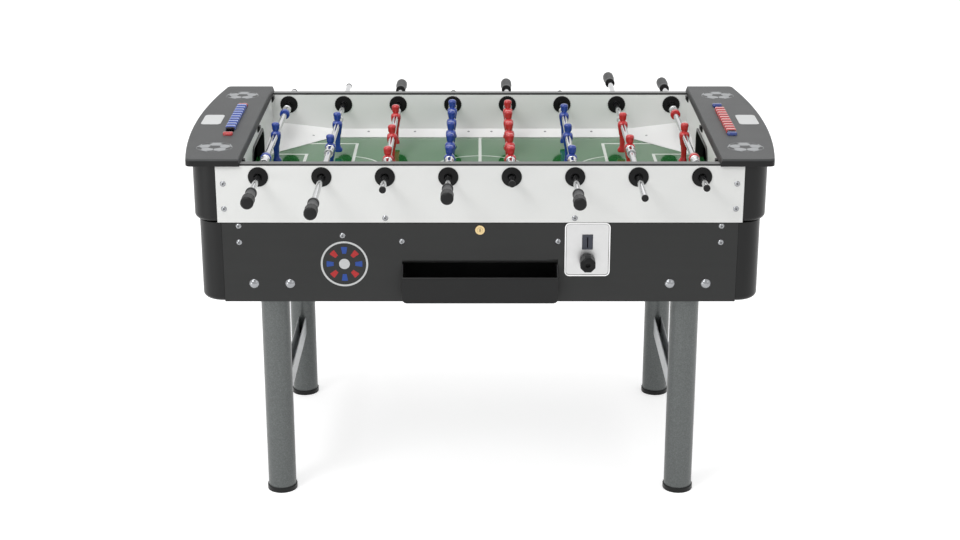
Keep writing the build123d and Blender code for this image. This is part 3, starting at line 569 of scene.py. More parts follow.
def plug_finish(place):
    """Brass on the face of the plug, darkened by painted shade inside the key slot and behind the board."""
    depth = axis_values(place)[1]
    # Painted shade: dark brown wherever the surface lies behind the plug's face.
    inside = 1 - depth.under(plug_face_y + slot_shade, slot_shade)
    smudges = cloudy(place, 45.0, 4.0)
    hairlines = cloudy(place, 1600.0, 3.0)
    colour = tone(inside, tone(smudges, *brass_tones), keyhole_shade_colour)
    return painted(colour, between(smudges * 0.5 + hairlines * 0.5, 0.14, 0.34), hairlines, 0.00002)


lock_brass = metal("lock_brass", brass_tones, 0.24)
eased("lock_housing", "lock_housing_brass", lock_brass, lock_arris)
eased("key_lock", "lock_plug_brass", surface("plug_brass", {"Metallic": 1.0}, plug_finish), lock_arris)


# Rear hinges. Folded zinc plated leaves with rolled knuckles on a steel pin, three screws in each leaf; the
# moving leaves, the catch and the screws of the walls go up with the upper box.
hinge_arris = 0.0003
hinge_middles = (-0.400, 0.0, 0.400)
hinge_screw_gap = 0.0270
hinge_screw_up = 0.0125
hinge_screw_over = 0.01755
hinge_screw_radius = 0.0036
hinge_screw_proud = 0.0007
hinge_screw_groove = 0.0006
screw_steps = 32


def landing(node, start, way):
    """Place where a ray lands on a CAD node, with Z along the surface's normal."""
    work = welded(node)
    spot, normal, _, _ = BVHTree.FromBMesh(work).ray_cast(Vector(start), Vector(way))
    work.free()
    return moved(spot) @ normal.to_track_quat("Z", "Y").to_matrix().to_4x4()


def screw_head(name, radius, proud, groove):
    """Low domed screw head about Z with a cross recess sunk into it."""
    rings = []
    for share, arm, level in (
            (1.0, 1.0, -proud), (1.0, 1.0, proud * 0.3), (0.86, 0.86, proud * 0.7), (0.62, 0.62, proud),
            (0.42, 0.58, proud), (0.30, 0.58, proud - groove)):
        ring = []
        for angle in [2 * pi * step / screw_steps for step in range(screw_steps)]:
            reach = radius * (share + (arm - share) * cos(2 * angle) ** 8)
            ring.append((reach * cos(angle), reach * sin(angle), level))
        rings.append(ring)
    return lofted(name, [rings], 30.0)


eased("hinge_fixed_leaves", "hinge_leaves_below", zinc_steel)
eased("lid_fittings", "hinge_leaves_catch_and_screws", zinc_steel, hinge_arris)
# Painted shade: flat dark crosses on the small screw heads of the walls stand in for their recesses.
cross_recess_shade("lid_fittings", "wall_screw_recess_shade")
hinge_screw = screw_head("hinge_screw", hinge_screw_radius, hinge_screw_proud, hinge_screw_groove)
hinge_screw_steel = metal("hinge_screw_steel", (recess_shade_tones[1], zinc_tones[0]), 0.3)
leaf_low, leaf_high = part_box("hinge_fixed_leaves")
hinge_screws_x = [middle + place * hinge_screw_gap for middle in hinge_middles for place in (-1, 0, 1)]
for node, leaf, height in (
        ("hinge_fixed_leaves", "below", leaf_low.z + hinge_screw_up),
        ("lid_fittings", "above", leaf_high.z + hinge_screw_over)):
    for index, x in enumerate(hinge_screws_x, start=1):
        show(f"hinge_screw_{leaf}_{index}", hinge_screw, hinge_screw_steel, frame["nodes"][node]["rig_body"],
             landing(node, (x, 1.0, height), (0.0, -1.0, 0.0)))


# Walls of the upper box. Board faced with white laminate on the sides that show and black inside the goal
# pockets, broken along the arrises and screwed to the corner posts.
wall_arris = 0.0008
wall_tones = (0.76, 0.77, 0.755), (0.83, 0.835, 0.82)
pocket_black = (0.012, 0.012, 0.012)
pocket_lap = 0.0003
pocket_side = 0.0005
end_board = 0.0175
pocket_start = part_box("pitch_board")[1].x - pocket_lap
pocket_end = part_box("box_walls")[1].x - end_board
pocket_half_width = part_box("pitch_board")[1].y - pocket_side
edge_softness = 0.0002


def white_board(place):
    """White laminate, faintly uneven, and black behind the goals."""
    x, y, _ = axis_values(place)
    along = abs(x)
    behind = (1 - along.under(pocket_start, edge_softness)) * along.under(pocket_end, edge_softness)
    behind = behind * abs(y).under(pocket_half_width, edge_softness)
    uneven = cloudy(place, 6.0, 5.0)
    pores = cloudy(place, 1100.0, 2.0)
    colour = tone(behind, tone(uneven, *wall_tones), pocket_black)
    return painted(colour, between(uneven * 0.5 + pores * 0.5, 0.30, 0.42), pores, 0.00003)


white_laminate = surface("white_laminate", {"Specular IOR Level": 0.4}, white_board)
eased("box_walls", "upper_box_walls", white_laminate, wall_arris)


# Corner posts of the upper box. Black mouldings like those of the cabinet, but wider; the walls are screwed
# to them from inside, and the end caps close them on top.
eased("upper_corner_posts", "upper_box_corner_posts", black_moulding, post_arris)


# Pitch. A fibreboard printed green with white markings under a clear gloss and left bare underneath. It
# rests on battens along its edges.
grass_tones = (0.016, 0.135, 0.030), (0.023, 0.165, 0.041)
marking_white = (0.72, 0.76, 0.71)
fibre_tones = (0.20, 0.135, 0.080), (0.34, 0.245, 0.155)
print_edge = 0.0004
pitch_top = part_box("pitch_board")[1].z
line_half = 0.0040
circle_half = 0.0023
print_softness = 0.0006
centre_circle = 0.120
penalty_x = 0.332
penalty_y = 0.244
goal_area_x = 0.459
goal_area_y = 0.136
arc_centre_x = 0.372


def pitch_print(place):
    """Halfway line, centre circle, penalty boxes with arcs and goal areas on top, bare board below."""
    x, y, height = axis_values(place)
    along, across = abs(x), abs(y)
    bare = height.under(pitch_top - print_edge, print_edge)

    def box_line(start, half_width):
        return abs((start - along).most(across - half_width)).under(line_half, print_softness)

    def circle_line(centre):
        from_centre = ((along - centre) ** 2.0 + across ** 2.0) ** 0.5
        return abs(from_centre - centre_circle).under(circle_half, print_softness)

    lines = along.under(line_half, print_softness)
    lines = lines.most(box_line(penalty_x, penalty_y))
    lines = lines.most(box_line(goal_area_x, goal_area_y))
    lines = lines.most(circle_line(0.0))
    lines = lines.most(circle_line(arc_centre_x) * along.under(penalty_x, print_softness))
    uneven = cloudy(place, 7.0, 6.0)
    speck = cloudy(place, 600.0, 2.0)
    grass = tone(uneven * 0.7 + speck * 0.3, *grass_tones)
    fibres = tone(speck * 0.6 + uneven * 0.4, *fibre_tones)
    return {
        "Coat Weight": between(bare, 0.45, 0.0),
        **painted(tone(bare, tone(lines, grass, marking_white), fibres),
                  between(bare, 0.0, 0.6) + between(uneven, 0.05, 0.10), uneven, 0.00004)}


coat("pitch_board", surface("green_pitch", {"Coat Roughness": 0.02}, pitch_print))


# Banks and corner ramps. White plastic strips along the sides and wedges in the corners that roll a dead
# ball back into play, held by small sunk screws.
bank_arris = 0.0005
bank_tones = (0.83, 0.83, 0.825), (0.88, 0.88, 0.875)
screw_radius = 0.0034
screw_proud = 0.0005
screw_groove = 0.0004
sunk_tones = (0.20, 0.20, 0.21), (0.42, 0.42, 0.43)
bank_screws = (0.0315, 0.335), (0.1790, 0.335), (0.3065, 0.335), (0.455, 0.299)
eased("banks_and_ramps", "banks_and_corner_ramps",
      moulding("white_bank", bank_tones, 0.34, 700.0, 0.00002), bank_arris)
sunk_screw = screw_head("bank_screw", screw_radius, screw_proud, screw_groove)
sunk_steel = metal("sunk_screw_steel", sunk_tones, 0.35)
screw_spots = [(side * x, end * y) for x, y in bank_screws for side in (-1, 1) for end in (-1, 1)]
for index, (x, y) in enumerate(screw_spots, start=1):
    show(f"bank_screw_{index}", sunk_screw, sunk_steel, "upper_box",
         landing("banks_and_ramps", (x, y, 2.0), (0.0, 0.0, -1.0)))


# Goal frames. Black injection mouldings that line the goal mouths. Each is pushed through the end wall from
# the pitch and laps over the wall round its mouth.
goal_arris = 0.0010
goal_tones = (0.010, 0.010, 0.010), (0.020, 0.020, 0.020)
eased("goal_frames", "goal_frame_mouldings",
      moulding("goal_black", goal_tones, 0.38, 1200.0, 0.00005), goal_arris)


# Top rails. Extruded strips fixed along the top of the long walls, satin dark grey on top and, by painted
# shade, black along their edges, butted against the end caps.
rail_arris = 0.0008
rail_tones = (0.066, 0.068, 0.068), (0.100, 0.102, 0.102)
# Black of the painted shade down the rail edges.
rail_edge_shade = (0.012, 0.012, 0.012)
rail_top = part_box("top_rails")[1].z


def rail_finish(place):
    """Satin grey top with drawn hairlines, and painted shade making it black below the top."""
    height = axis_values(place)[2]
    # Painted shade: black from just under the top edge downwards.
    below = height.under(rail_top - rail_arris, edge_softness)
    hairlines = cloudy(place, 1400.0, 3.0, (0.01, 1.0, 1.0))
    patches = cloudy(place, 8.0, 4.0)
    grey = tone(hairlines * 0.5 + patches * 0.5, *rail_tones)
    return painted(tone(below, grey, rail_edge_shade), between(patches, 0.24, 0.36), hairlines, 0.00003)


rail_grey = surface("rail_grey", {"Specular IOR Level": 0.30}, rail_finish)
eased("top_rails", "top_rail_strips", rail_grey, rail_arris)


# End caps. Thick charcoal mouldings with a leather-like grain that close the goal ends, curved along the
# outer edge, with a slot for the score counter. Black clips under them hold them to the goal walls.
cap_arris = 0.0010
cap_tones = (0.034, 0.036, 0.037), (0.058, 0.060, 0.061)
# Near black of the painted shade down the cap sides and in the slot.
cap_side_shade = (0.0060, 0.0062, 0.0064)
cap_low, cap_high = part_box("end_caps")
cap_top = cap_high.z
cap_side_depth = 0.0042
cap_side_softness = 0.0020
clip_length = 0.0160
clip_outline = ((0.0, 0.0), (0.0, -0.0165), (0.0028, -0.0160), (0.0074, -0.0085), (0.0074, 0.0))
clip_rounding = 0.0006
clip_places = (-0.310, 0.010, 0.335)
goal_wall_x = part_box("banks_and_ramps")[1].x


def cap_finish(place):
    """Charcoal with a leather grain on top, and painted shade making it near black down the sides and in the
    slot.
    """
    height = axis_values(place)[2]
    # Painted shade: near black from a little below the top downwards.
    side = height.under(cap_top - cap_side_depth, cap_side_softness)
    grain, pale, dull = grained(place, 650.0)
    charcoal = tone(pale, *cap_tones)
    return painted(tone(side, charcoal, cap_side_shade), between(dull, 0.36, 0.54), grain, 0.00022)


charcoal_cap = surface("charcoal_cap", {"Specular IOR Level": 0.28}, cap_finish)
eased("end_caps", "end_cap_mouldings", charcoal_cap, cap_arris)
clip = printed("cap_clip", [clip_outline], clip_length, clip_rounding)
half_turn = Matrix.Rotation(pi, 4, "Z")
no_turn = Matrix.Identity(4)
for side, side_name, facing in ((-1, "left", no_turn), (1, "right", half_turn)):
    for index, y in enumerate(clip_places, start=1):
        corner = moved((side * goal_wall_x, y - side * clip_length / 2, cap_low.z))
        show(f"cap_clip_{side_name}_{index}", clip, black_moulding, "upper_box",
             corner @ facing @ upright)


# Prints on the end caps. A plain football in grey ink at each end of a cap, and a bare pale plate with
# rounded corners stuck on between them.
ball_x = 0.640
ball_y = 0.268
ball_radius = 0.0445
ball_seam = 0.93
ball_rim = 0.08
ball_reach = 1.05
badge_x = 0.682
badge_width = 0.050
badge_length = 0.097
badge_corner = 0.010
badge_thickness = 0.0008
grey_tones = (0.25, 0.26, 0.27), (0.36, 0.37, 0.38)
golden = (1 + sqrt(5)) / 2
ball_turn = Matrix.Rotation(atan(1 / golden), 3, "X")


def football():
    """Outlines of a football's hexagons from above, drawn in by a seam and cut at its rim."""
    points = []
    for first in (-1.0, 1.0):
        for second in (-golden, golden):
            points += [Vector((0, first, second)), Vector((first, second, 0)), Vector((second, 0, first))]
    points = [ball_turn @ point.normalized() for point in points]
    reach = min((points[0] - other).length for other in points[1:]) * ball_reach
    outlines = []
    for trio in combinations(points, 3):
        if max((trio[k] - trio[k - 1]).length for k in range(3)) > reach:
            continue
        middle = sum(trio, Vector()) / 3
        corners = []
        for near, far in zip(trio, trio[1:] + trio[:1]):
            corners += [near.lerp(far, 1 / 3), near.lerp(far, 2 / 3)]
        drawn = [(middle + (corner - middle) * ball_seam).normalized() for corner in corners]
        edge = [near.lerp(far, step / 6).normalized()
                for near, far in zip(drawn, drawn[1:] + drawn[:1]) for step in range(6)]
        inside = [(point.x * ball_radius, point.y * ball_radius) for point in edge if point.z > ball_rim]
        if len(inside) > 6:
            outlines.append(inside)
    return outlines


grey_ink = moulding("grey_ink", grey_tones, 0.42, 900.0, 0.00003)
ball_mesh = printed("football_print", football(), print_thickness)
badge_outline = []
for quarter, (side_x, side_y) in enumerate(((1, 1), (-1, 1), (-1, -1), (1, -1))):
    badge_outline += arc(
        side_x * (badge_width / 2 - badge_corner), side_y * (badge_length / 2 - badge_corner),
        badge_corner, quarter * pi / 2, (quarter + 1) * pi / 2, 8)
badge_mesh = printed("bare_badge", [badge_outline], badge_thickness)
for side, side_name in ((-1, "left"), (1, "right")):
    show(f"cap_badge_{side_name}", badge_mesh, pale_ink, "upper_box",
         moved((side * badge_x, 0.0, cap_top)))
    for end, end_name in ((-1, "front"), (1, "rear")):
        show(f"cap_football_{side_name}_{end_name}", ball_mesh, grey_ink, "upper_box",
             moved((side * ball_x, end * ball_y, cap_top)))


# Score counters. Rows of ridged plastic beads slide on two steel wires in the slot of each cap, between two
# gloss end blocks in the other team's colour.
bead_steps = 8
ridge_depth = 0.0032
ridge_power = 0.6
bead_rounding = 0.0036
wire_radius = 0.0016
wire_from_middle = 0.0055
wire_drop = 0.0030
bead_count = 10
bead_pitch = 0.0244
bead_length = 0.0240
bead_clear = 0.0003
stop_length = 0.0200
stop_drop = 0.0030
stop_sunk = 0.0020
wire_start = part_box("score_stops")[0].y + stop_length / 2
wire_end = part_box("score_stops")[1].y - stop_length / 2
bead_blue_tones = (0.012, 0.045, 0.30), (0.022, 0.075, 0.42)
bead_red_tones = (0.42, 0.016, 0.018), (0.56, 0.026, 0.028)
stop_blue_tones = (0.008, 0.026, 0.16), (0.014, 0.044, 0.24)
stop_red_tones = (0.34, 0.012, 0.014), (0.46, 0.020, 0.022)
# Pale colours of the painted highlight on the bead crests, and the near black of the painted shade in their
# valleys.
crest_highlight_blue = (0.26, 0.34, 0.66)
crest_highlight_red = (0.72, 0.27, 0.26)
valley_shade = (0.006, 0.006, 0.010)
crest_half = 0.0032
valley_start = 0.0094


def gloss(name, tones, rubbed=None):
    """Gloss plastic with faint flow marks; a ridge across Y may get a painted highlight on its crest and
    painted shade in its valleys.
    """
    def paint(place):
        flow = cloudy(place, 90.0, 4.0, (1.0, 1.0, 0.4))
        speck = cloudy(place, 1500.0, 2.0)
        colour = tone(flow, *tones)
        if rubbed:
            # Painted highlight on the crest and painted shade in the valleys, in place of gloss reflections
            # and shade.
            from_crest = abs(axis_values(place)[1])
            colour = tone(from_crest.under(crest_half, crest_half), colour, rubbed)
            colour = tone(from_crest.under(valley_start, crest_half), valley_shade, colour)
        return painted(colour, between(flow * 0.6 + speck * 0.4, 0.12, 0.24), speck, 0.00002)
    return surface(name, {"Coat Weight": 0.3, "Coat Roughness": 0.08}, paint)


def bead_mesh(name, width, length, bottom, top):
    """Bead about its middle, flat below and rounded above, with a ridge across it."""
    rings = []
    for step in range(bead_steps + 1):
        along = step / bead_steps
        drawn_in = ridge_depth * (1 - abs(sin(along * pi)) ** ridge_power)
        half = width / 2 - drawn_in
        section = [(-half, bottom), (half, bottom)]
        for x, start in ((half - bead_rounding, 0.0), (bead_rounding - half, pi / 2)):
            section += arc(x, top - drawn_in - bead_rounding, bead_rounding, start, start + pi / 2, 5)
        rings.append([(x, (along - 0.5) * length, z) for x, z in section])
    return lofted(name, [rings], 50.0)


beads_blue = gloss("counter_blue", bead_blue_tones, crest_highlight_blue)
beads_red = gloss("counter_red", bead_red_tones, crest_highlight_red)
stops_blue = gloss("counter_end_blue", stop_blue_tones)
stops_red = gloss("counter_end_red", stop_red_tones)
wire_steel = metal("wire_steel", zinc_tones, 0.15, (1.0, 0.02, 1.0))
wire = turned("score_wire", [(wire_start, wire_radius), (wire_end, wire_radius)], 12)
for side, side_name, bead_finish, stop_finish in (
        (-1, "left", beads_blue, stops_red), (1, "right", beads_red, stops_blue)):
    node = f"score_beads_{side_name}"
    bead_low, bead_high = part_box(node)
    counter_x = (bead_low.x + bead_high.x) / 2
    bead_width = bead_high.x - bead_low.x
    bead = bead_mesh(
        f"score_bead_{side_name}", bead_width, bead_length, cap_top + bead_clear, bead_high.z)
    stop = bead_mesh(
        f"score_stop_{side_name}", bead_width, stop_length, cap_top - stop_sunk, bead_high.z - stop_drop)
    for index in range(bead_count):
        middle_y = bead_low.y + bead_length / 2 + index * bead_pitch
        dress(node, f"score_bead_{side_name}_{index + 1}", bead, bead_finish,
              moved((counter_x, middle_y, 0.0)))
    for end_name, middle_y in (("front", wire_start), ("rear", wire_end)):
        dress("score_stops", f"score_stop_{side_name}_{end_name}", stop, stop_finish,
              moved((counter_x, middle_y, 0.0)))
    for wire_name, from_middle in (("inner", -side * wire_from_middle), ("outer", side * wire_from_middle)):
        show(f"score_wire_{side_name}_{wire_name}", wire, wire_steel, "upper_box",
             moved((counter_x + from_middle, 0.0, cap_top - wire_drop)))


# Rod bushings. Turned black acetal: a wide conical flange with a funnel on the outside of the wall, and a
# round nut with finger notches on the inside.
bushing_radius = 0.0240
bushing_tones = (0.0050, 0.0050, 0.0052), (0.0100, 0.0100, 0.0103)
bushing_mouth = 0.0104
bushing_rim = 0.0030
bushing_proud = 0.0060
bushing_lip = 0.0004
bushing_rounding = 0.0010
rod_radius = 0.0075
rod_clear = 0.0078
nut_notches = 24
nut_notch_depth = 0.0007
nut_lip = 0.0030
nut_rounding = 0.0008
nut_face = 0.86
nut_rim = 0.90
corner_share = 0.45


def nut_edge(y, radius, angle):
    """Finger notches round the nut's rim."""
    if radius < bushing_radius * nut_rim:
        return radius
    return radius - nut_notch_depth * (0.5 + 0.5 * cos(nut_notches * angle)) ** 3


def rounded_turn(corners, rounding, steps=4):
    """Profile of (y, radius) corners with each inner corner rounded."""
    profile = [corners[0]]
    for before, corner, after in zip(corners, corners[1:], corners[2:]):
        before, corner, after = Vector(before), Vector(corner), Vector(after)
        back = (before - corner).normalized() * min(rounding, (before - corner).length * corner_share)
        on = (after - corner).normalized() * min(rounding, (after - corner).length * corner_share)
        for step in range(steps + 1):
            t = step / steps
            point = corner + back * (1 - t) ** 2 + on * t ** 2
            profile.append((point.x, point.y))
    return profile + [corners[-1]]


bushing_finish = moulding("bushing_black", bushing_tones, 0.44, 1300.0, 0.00005, 0.14)
flange = turned("rod_bushing", rounded_turn([
    (0.0, rod_clear), (0.0, bushing_radius), (-bushing_rim * 0.6, bushing_radius),
    (-bushing_proud, bushing_mouth), (-bushing_proud * 0.6, rod_clear + bushing_lip),
    (-bushing_proud * 0.4, rod_clear)], bushing_rounding), 64, bored=True)
nut = turned("bushing_nut", rounded_turn([
    (0.0, rod_clear), (0.0, bushing_radius), (bushing_rim * 0.6, bushing_radius),
    (bushing_rim, bushing_radius * nut_face), (bushing_rim, rod_clear + nut_lip),
    (bushing_rim * 0.4, rod_clear)], nut_rounding), 96, nut_edge, True)
wall_outer_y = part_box("box_walls")[0].y
wall_inner_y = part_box("pitch_board")[0].y
rod_places = []
for number in range(1, 9):
    x, _, z = sum(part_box(f"rod_{number}_tube"), Vector()) / 2
    rod_places.append(Vector((x, 0.0, z)))
for number, rod in enumerate(rod_places, start=1):
    for end_name, facing in (("front", no_turn), ("rear", half_turn)):
        for piece, mesh, face_y in (("bushing", flange, wall_outer_y), ("bushing_nut", nut, wall_inner_y)):
            dress("rod_bushings", f"{piece}_{number}_{end_name}", mesh, bushing_finish,
                  moved(rod) @ facing @ moved((0.0, face_y, 0.0)))


# Rods. Drawn steel tubes, chromed and polished, with fine rubbing marks where they slide in the bushings.
# They carry the men, the sleeves and the grips.
chrome_tones = (0.50, 0.51, 0.52), (0.68, 0.68, 0.69)
rod_chrome = metal("rod_chrome", chrome_tones, 0.10, (1.0, 0.05, 1.0), 0.000008)
for number in range(1, 9):
    coat(f"rod_{number}_tube", rod_chrome)


# Figures. Each man is one gloss plastic moulding pressed on the rod: an egg-shaped head on a short neck, a
# round shoulder about the rod, a slab of two legs and a blunt foot. Keepers have stop rings beside them.
man_width = 0.0270
ring_radius = 0.0135
ring_length = 0.0160
men_blue_tones = (0.010, 0.036, 0.24), (0.016, 0.060, 0.36)
men_red_tones = (0.44, 0.014, 0.016), (0.60, 0.024, 0.026)
man_points = 20
groove_low = -0.062
groove_high = -0.027
groove_share = 0.22
groove_half = 0.0022
ring_rounding = 0.0045
man_levels = (
    # millimetres: height over the rod, half depth, half width, forward; then squareness
    (-73.5, 8.5, 8.0, 0.0, 4.0), (-72.5, 10.0, 8.8, 0.6, 4.0), (-68.0, 11.2, 9.0, 1.8, 4.0),
    (-63.5, 9.8, 8.8, 1.4, 3.5), (-59.0, 7.4, 8.2, 0.4, 3.5), (-54.0, 6.6, 7.9, 0.0, 4.0),
    (-42.0, 7.2, 8.4, 0.0, 4.0), (-30.0, 8.0, 9.2, 0.0, 4.0), (-26.5, 8.3, 9.5, 0.0, 4.0),
    (-25.5, 9.8, 10.6, 0.0, 4.0), (-17.0, 10.7, 11.3, 0.0, 4.0), (-11.0, 11.9, 12.3, 0.0, 3.5),
    (-6.0, 13.2, 13.4, 0.0, 3.0), (1.0, 13.8, 13.7, 0.0, 3.0), (6.0, 12.8, 13.4, 0.0, 3.0),
    (9.4, 10.3, 11.2, 0.0, 2.5), (10.8, 7.6, 8.0, 0.0, 2.2), (11.8, 7.0, 7.2, 0.0, 2.2),
    (13.2, 8.2, 8.0, 0.2, 2.2), (16.2, 9.6, 9.2, 0.4, 2.2), (21.0, 10.0, 9.6, 0.5, 2.2),
    (24.0, 10.0, 9.6, 0.4, 2.2), (24.8, 10.7, 10.3, 0.2, 2.2), (28.8, 10.6, 10.2, 0.0, 2.2),
    (32.0, 9.0, 8.7, 0.0, 2.2), (34.0, 4.6, 4.5, 0.0, 2.2))


def man_mesh(name):
    """Figure facing +X about the rod axis, with a groove between its legs in front and behind."""
    rings = []
    for *lengths, squareness in man_levels:
        height, half_depth, half_width, forward = (length / 1000 for length in lengths)
        ring = []
        for step in range(man_points):
            angle = 2 * pi * (step + 0.5) / man_points
            c, s = cos(angle), sin(angle)
            x = half_depth * copysign(abs(c) ** (2 / squareness), c)
            y = half_width * copysign(abs(s) ** (2 / squareness), s)
            if groove_low < height < groove_high:
                x *= 1 - groove_share * exp(-(y / groove_half) ** 2)
            ring.append((x + forward, y, height))
        rings.append(ring)
    return lofted(name, [rings], 180.0)


man = {"men_blue": man_mesh("man_blue"), "men_red": man_mesh("man_red")}
ring_mesh = {
    team: turned(f"stop_ring_{team}", rounded_turn([
        (-ring_length / 2, rod_radius), (-ring_length / 2, ring_radius), (ring_length / 2, ring_radius),
        (ring_length / 2, rod_radius)], ring_rounding), 40)
    for team in man}
team_finish = {"men_blue": gloss("men_blue", men_blue_tones), "men_red": gloss("men_red", men_red_tones)}
men_on_rod = (1, 2, 3, 5, 5, 3, 2, 1)
for number, (rod, count) in enumerate(zip(rod_places, men_on_rod), start=1):
    node = f"rod_{number}_men"
    team = slot_of[node]
    men_low, men_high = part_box(node)
    middle_y = (men_low.y + men_high.y) / 2
    gap = 0.0 if count == 1 else (men_high.y - men_low.y - man_width) / (count - 1)
    facing = no_turn if team == "men_blue" else half_turn
    for index in range(count):
        stand_y = middle_y + (index - (count - 1) / 2) * gap
        figure = dress(node, f"man_{number}_{index + 1}", man[team], team_finish[team],
                       moved((rod.x, stand_y, rod.z)) @ facing)
        smooth = figure.modifiers.new("moulded_form", "SUBSURF")
        smooth.levels = smooth.render_levels = 2
    if count == 1:
        for end_name, ring_y in (
                ("front", men_low.y + ring_length / 2), ("rear", men_high.y - ring_length / 2)):
            dress(node, f"stop_ring_{number}_{end_name}", ring_mesh[team], team_finish[team],
                  moved((rod.x, ring_y, rod.z)))


# Buffer sleeves. Bright plated sleeves that run loose on the rod between the outer man and the bushing.
# Each is turned with a collar at both ends and a step beside it.
buffer_length = 0.0470
buffer_radius = 0.0115
buffer_waist = 0.0102
buffer_collar = 0.0065
buffer_step = 0.0075
buffer_rounding = 0.0009
buffer_tones = (0.58, 0.59, 0.60), (0.78, 0.78, 0.79)
buffer_finish = metal("buffer_chrome", buffer_tones, 0.16, depth=0.00001)
buffer_half = buffer_length / 2
buffer_mesh = turned("buffer_sleeve", rounded_turn([
    (-buffer_half, rod_clear), (-buffer_half, buffer_radius), (buffer_collar - buffer_half, buffer_radius),
    (buffer_step - buffer_half, buffer_waist), (buffer_half - buffer_step, buffer_waist),
    (buffer_half - buffer_collar, buffer_radius), (buffer_half, buffer_radius), (buffer_half, rod_clear)],
    buffer_rounding), 48, bored=True)
for number, rod in enumerate(rod_places, start=1):
    node = f"rod_{number}_buffers"
    sleeve_low, sleeve_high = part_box(node)
    for end_name, middle_y in (
            ("front", sleeve_low.y + buffer_half), ("rear", sleeve_high.y - buffer_half)):
        dress(node, f"buffer_{number}_{end_name}", buffer_mesh, buffer_finish,
              moved((rod.x, middle_y, rod.z)))


# Grips and plugs. Black moulded grips pressed on one end of the rod, with a collar, a ribbed waist and a
# flared, fluted end with a ringed face; a round black plug closes the other end.
grip_length = 0.0880
grip_collar = 0.0135
grip_waist = 0.0118
grip_flare = 0.01525
grip_flutes = 12
flute_depth = 0.0006
waist_ribs = 30
rib_depth = 0.0004
ribs_start = 0.0110
ribs_end = 0.0500
flutes_start = 0.0560
flutes_end = 0.0830
tip_radius = 0.0008
grip_rounding = 0.0014
plug_radius = 0.0082
plug_head = 0.0080
plug_seat = 0.0055
plug_rounding = 0.0028
grip_tones = (0.0060, 0.0060, 0.0062), (0.0150, 0.0150, 0.0155)
waist_tones = (0.024, 0.025, 0.026), (0.072, 0.073, 0.075)
waist_start = 0.0098
waist_end = 0.0540
waist_softness = 0.0006
flare_softness = 0.0040


def grip_shape(y, radius, angle):
    """Ribs round the waist and flutes along the flared end."""
    if ribs_start < y < ribs_end:
        return radius - rib_depth * (0.5 + 0.5 * cos(waist_ribs * angle))
    if flutes_start < y < flutes_end:
        return radius - flute_depth * (0.5 + 0.5 * cos(grip_flutes * angle))
    return radius


def grip_grain(place):
    """Black moulding with a coarse grain, grey round the waist."""
    along = axis_values(place)[1]
    waist = (1 - along.under(waist_start, waist_softness)) * along.under(waist_end, flare_softness)
    grain, pale, dull = grained(place, 1200.0)
    colour = tone(waist, tone(pale, *grip_tones), tone(grain, *waist_tones))
    return painted(colour, between(dull, 0.32, 0.52), grain, 0.00008)


grip_finish = surface("grip_black", {"Specular IOR Level": 0.22}, grip_grain)
grip_mesh = turned("rod_grip", rounded_turn([
    (0.0, rod_radius), (0.0, grip_collar), (0.0090, grip_collar), (0.0100, grip_waist),
    (0.0260, grip_waist), (waist_end, grip_flare), (flutes_start, grip_flare), (flutes_end, grip_flare),
    (0.0870, 0.0125), (grip_length, 0.0095), (0.0872, 0.0086), (0.0879, 0.0072), (grip_length, tip_radius)],
    grip_rounding, 3), 120, grip_shape)
plug_mesh = turned("rod_plug", rounded_turn([
    (0.0, plug_seat), (0.0, plug_radius), (plug_head, plug_radius), (plug_head, tip_radius)],
    plug_rounding), 40)
for number, rod in enumerate(rod_places, start=1):
    node = f"rod_{number}_grip"
    end_low, end_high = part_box(node)
    if slot_of[f"rod_{number}_men"] == "men_blue":
        grip_y, plug_y, facing = end_low.y + grip_length, end_high.y - plug_head, half_turn
    else:
        grip_y, plug_y, facing = end_high.y - grip_length, end_low.y + plug_head, no_turn
    dress(node, f"grip_{number}", grip_mesh, grip_finish, moved((rod.x, grip_y, rod.z)) @ facing)
    dress(node, f"plug_{number}", plug_mesh, grip_finish,
          moved((rod.x, plug_y, rod.z)) @ facing @ half_turn)


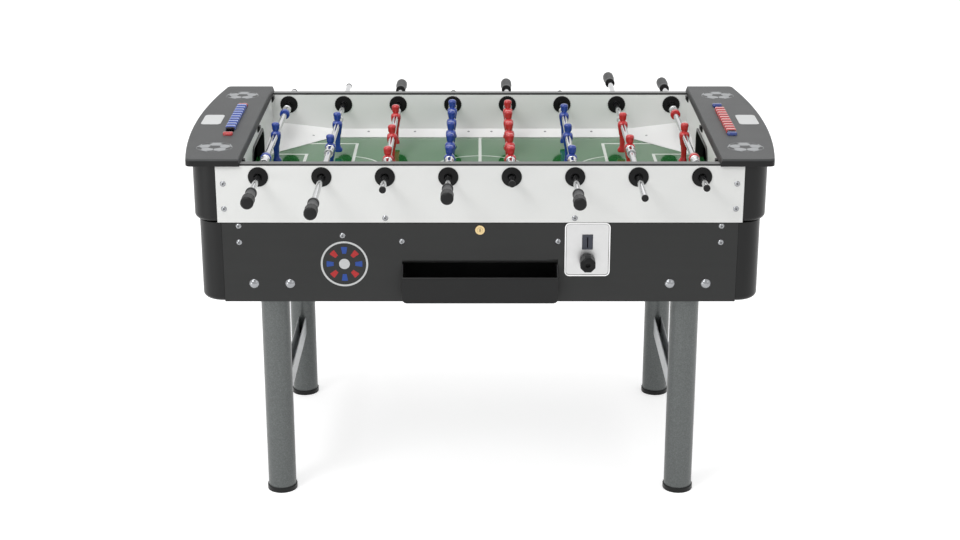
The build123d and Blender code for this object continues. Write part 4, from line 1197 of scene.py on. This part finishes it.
# Studio. A pale seamless floor under soft light from the upper left, and a camera in front of the table at
# standing height, tilted down.
floor_size = 30.0
floor_white = (0.80, 0.80, 0.80)
floor_lift = 0.58
world_light = 0.66
camera_place = (0.0, -4.414, 1.995)
camera_tilt = radians(90.0 - 19.0)
camera_lens = 66.60
lamp_aim = Vector((0.0, 0.0, 0.7))
lamps = (
    # name, place, size, power
    ("key", (-2.6, -3.2, 4.2), 2.0, 62.0),
    ("low", (-3.4, -2.6, 0.75), 1.2, 14.0),
    ("fill", (3.2, -3.0, 3.0), 3.0, 14.0),
    ("top", (-0.9, -0.7, 4.3), 2.2, 46.0),
    ("back", (0.5, 3.8, 3.6), 3.2, 12.0))


def seen(tree):
    """1 on rays from the camera, also by mirror or glass, and 0 on all others."""
    straight = Strand(tree).node("LightPath", {}, "Is Camera Ray")
    outputs = straight.socket.node.outputs
    mirrored = Strand(tree, outputs["Is Glossy Ray"])
    return straight.most(mirrored).most(Strand(tree, outputs["Is Transmission Ray"]))


def glow(place):
    """White light of the floor where it is seen."""
    return {"Emission Color": tone(seen(place.tree), (0.0, 0.0, 0.0), (1.0, 1.0, 1.0))}


floor_work = bmesh.new()
bmesh.ops.create_grid(floor_work, x_segments=1, y_segments=1, size=floor_size / 2)
floor = bpy.data.objects.new("studio_floor", mesh_from("studio_floor", floor_work))
floor_constants = {
    "Base Color": floor_white, "Roughness": 0.9, "Specular IOR Level": 0.1, "Emission Strength": floor_lift}
floor.data.materials.append(surface("studio_white", floor_constants, glow))
scene.collection.objects.link(floor)

world = bpy.data.worlds.new("studio_air")
world.use_nodes = True
Strand(world.node_tree).feed(world.node_tree.nodes["Background"], {
    "Color": (1.0, 1.0, 1.0), "Strength": between(seen(world.node_tree), world_light, 1.0)})
scene.world = world

for lamp_name, lamp_place, lamp_size, lamp_power in lamps:
    lamp = bpy.data.lights.new(lamp_name, "AREA")
    lamp.shape = "DISK"
    lamp.size = lamp_size
    lamp.energy = lamp_power
    holder = bpy.data.objects.new(lamp_name, lamp)
    holder.location = lamp_place
    holder.visible_camera = False
    holder.rotation_euler = (lamp_aim - Vector(lamp_place)).to_track_quat("-Z", "Y").to_euler()
    scene.collection.objects.link(holder)

camera = bpy.data.cameras.new("camera")
camera.lens = camera_lens
viewer = bpy.data.objects.new("camera", camera)
viewer.location = camera_place
viewer.rotation_euler = (camera_tilt, 0.0, 0.0)
scene.collection.objects.link(viewer)
scene.camera = viewer
scene.view_settings.view_transform = "Standard"
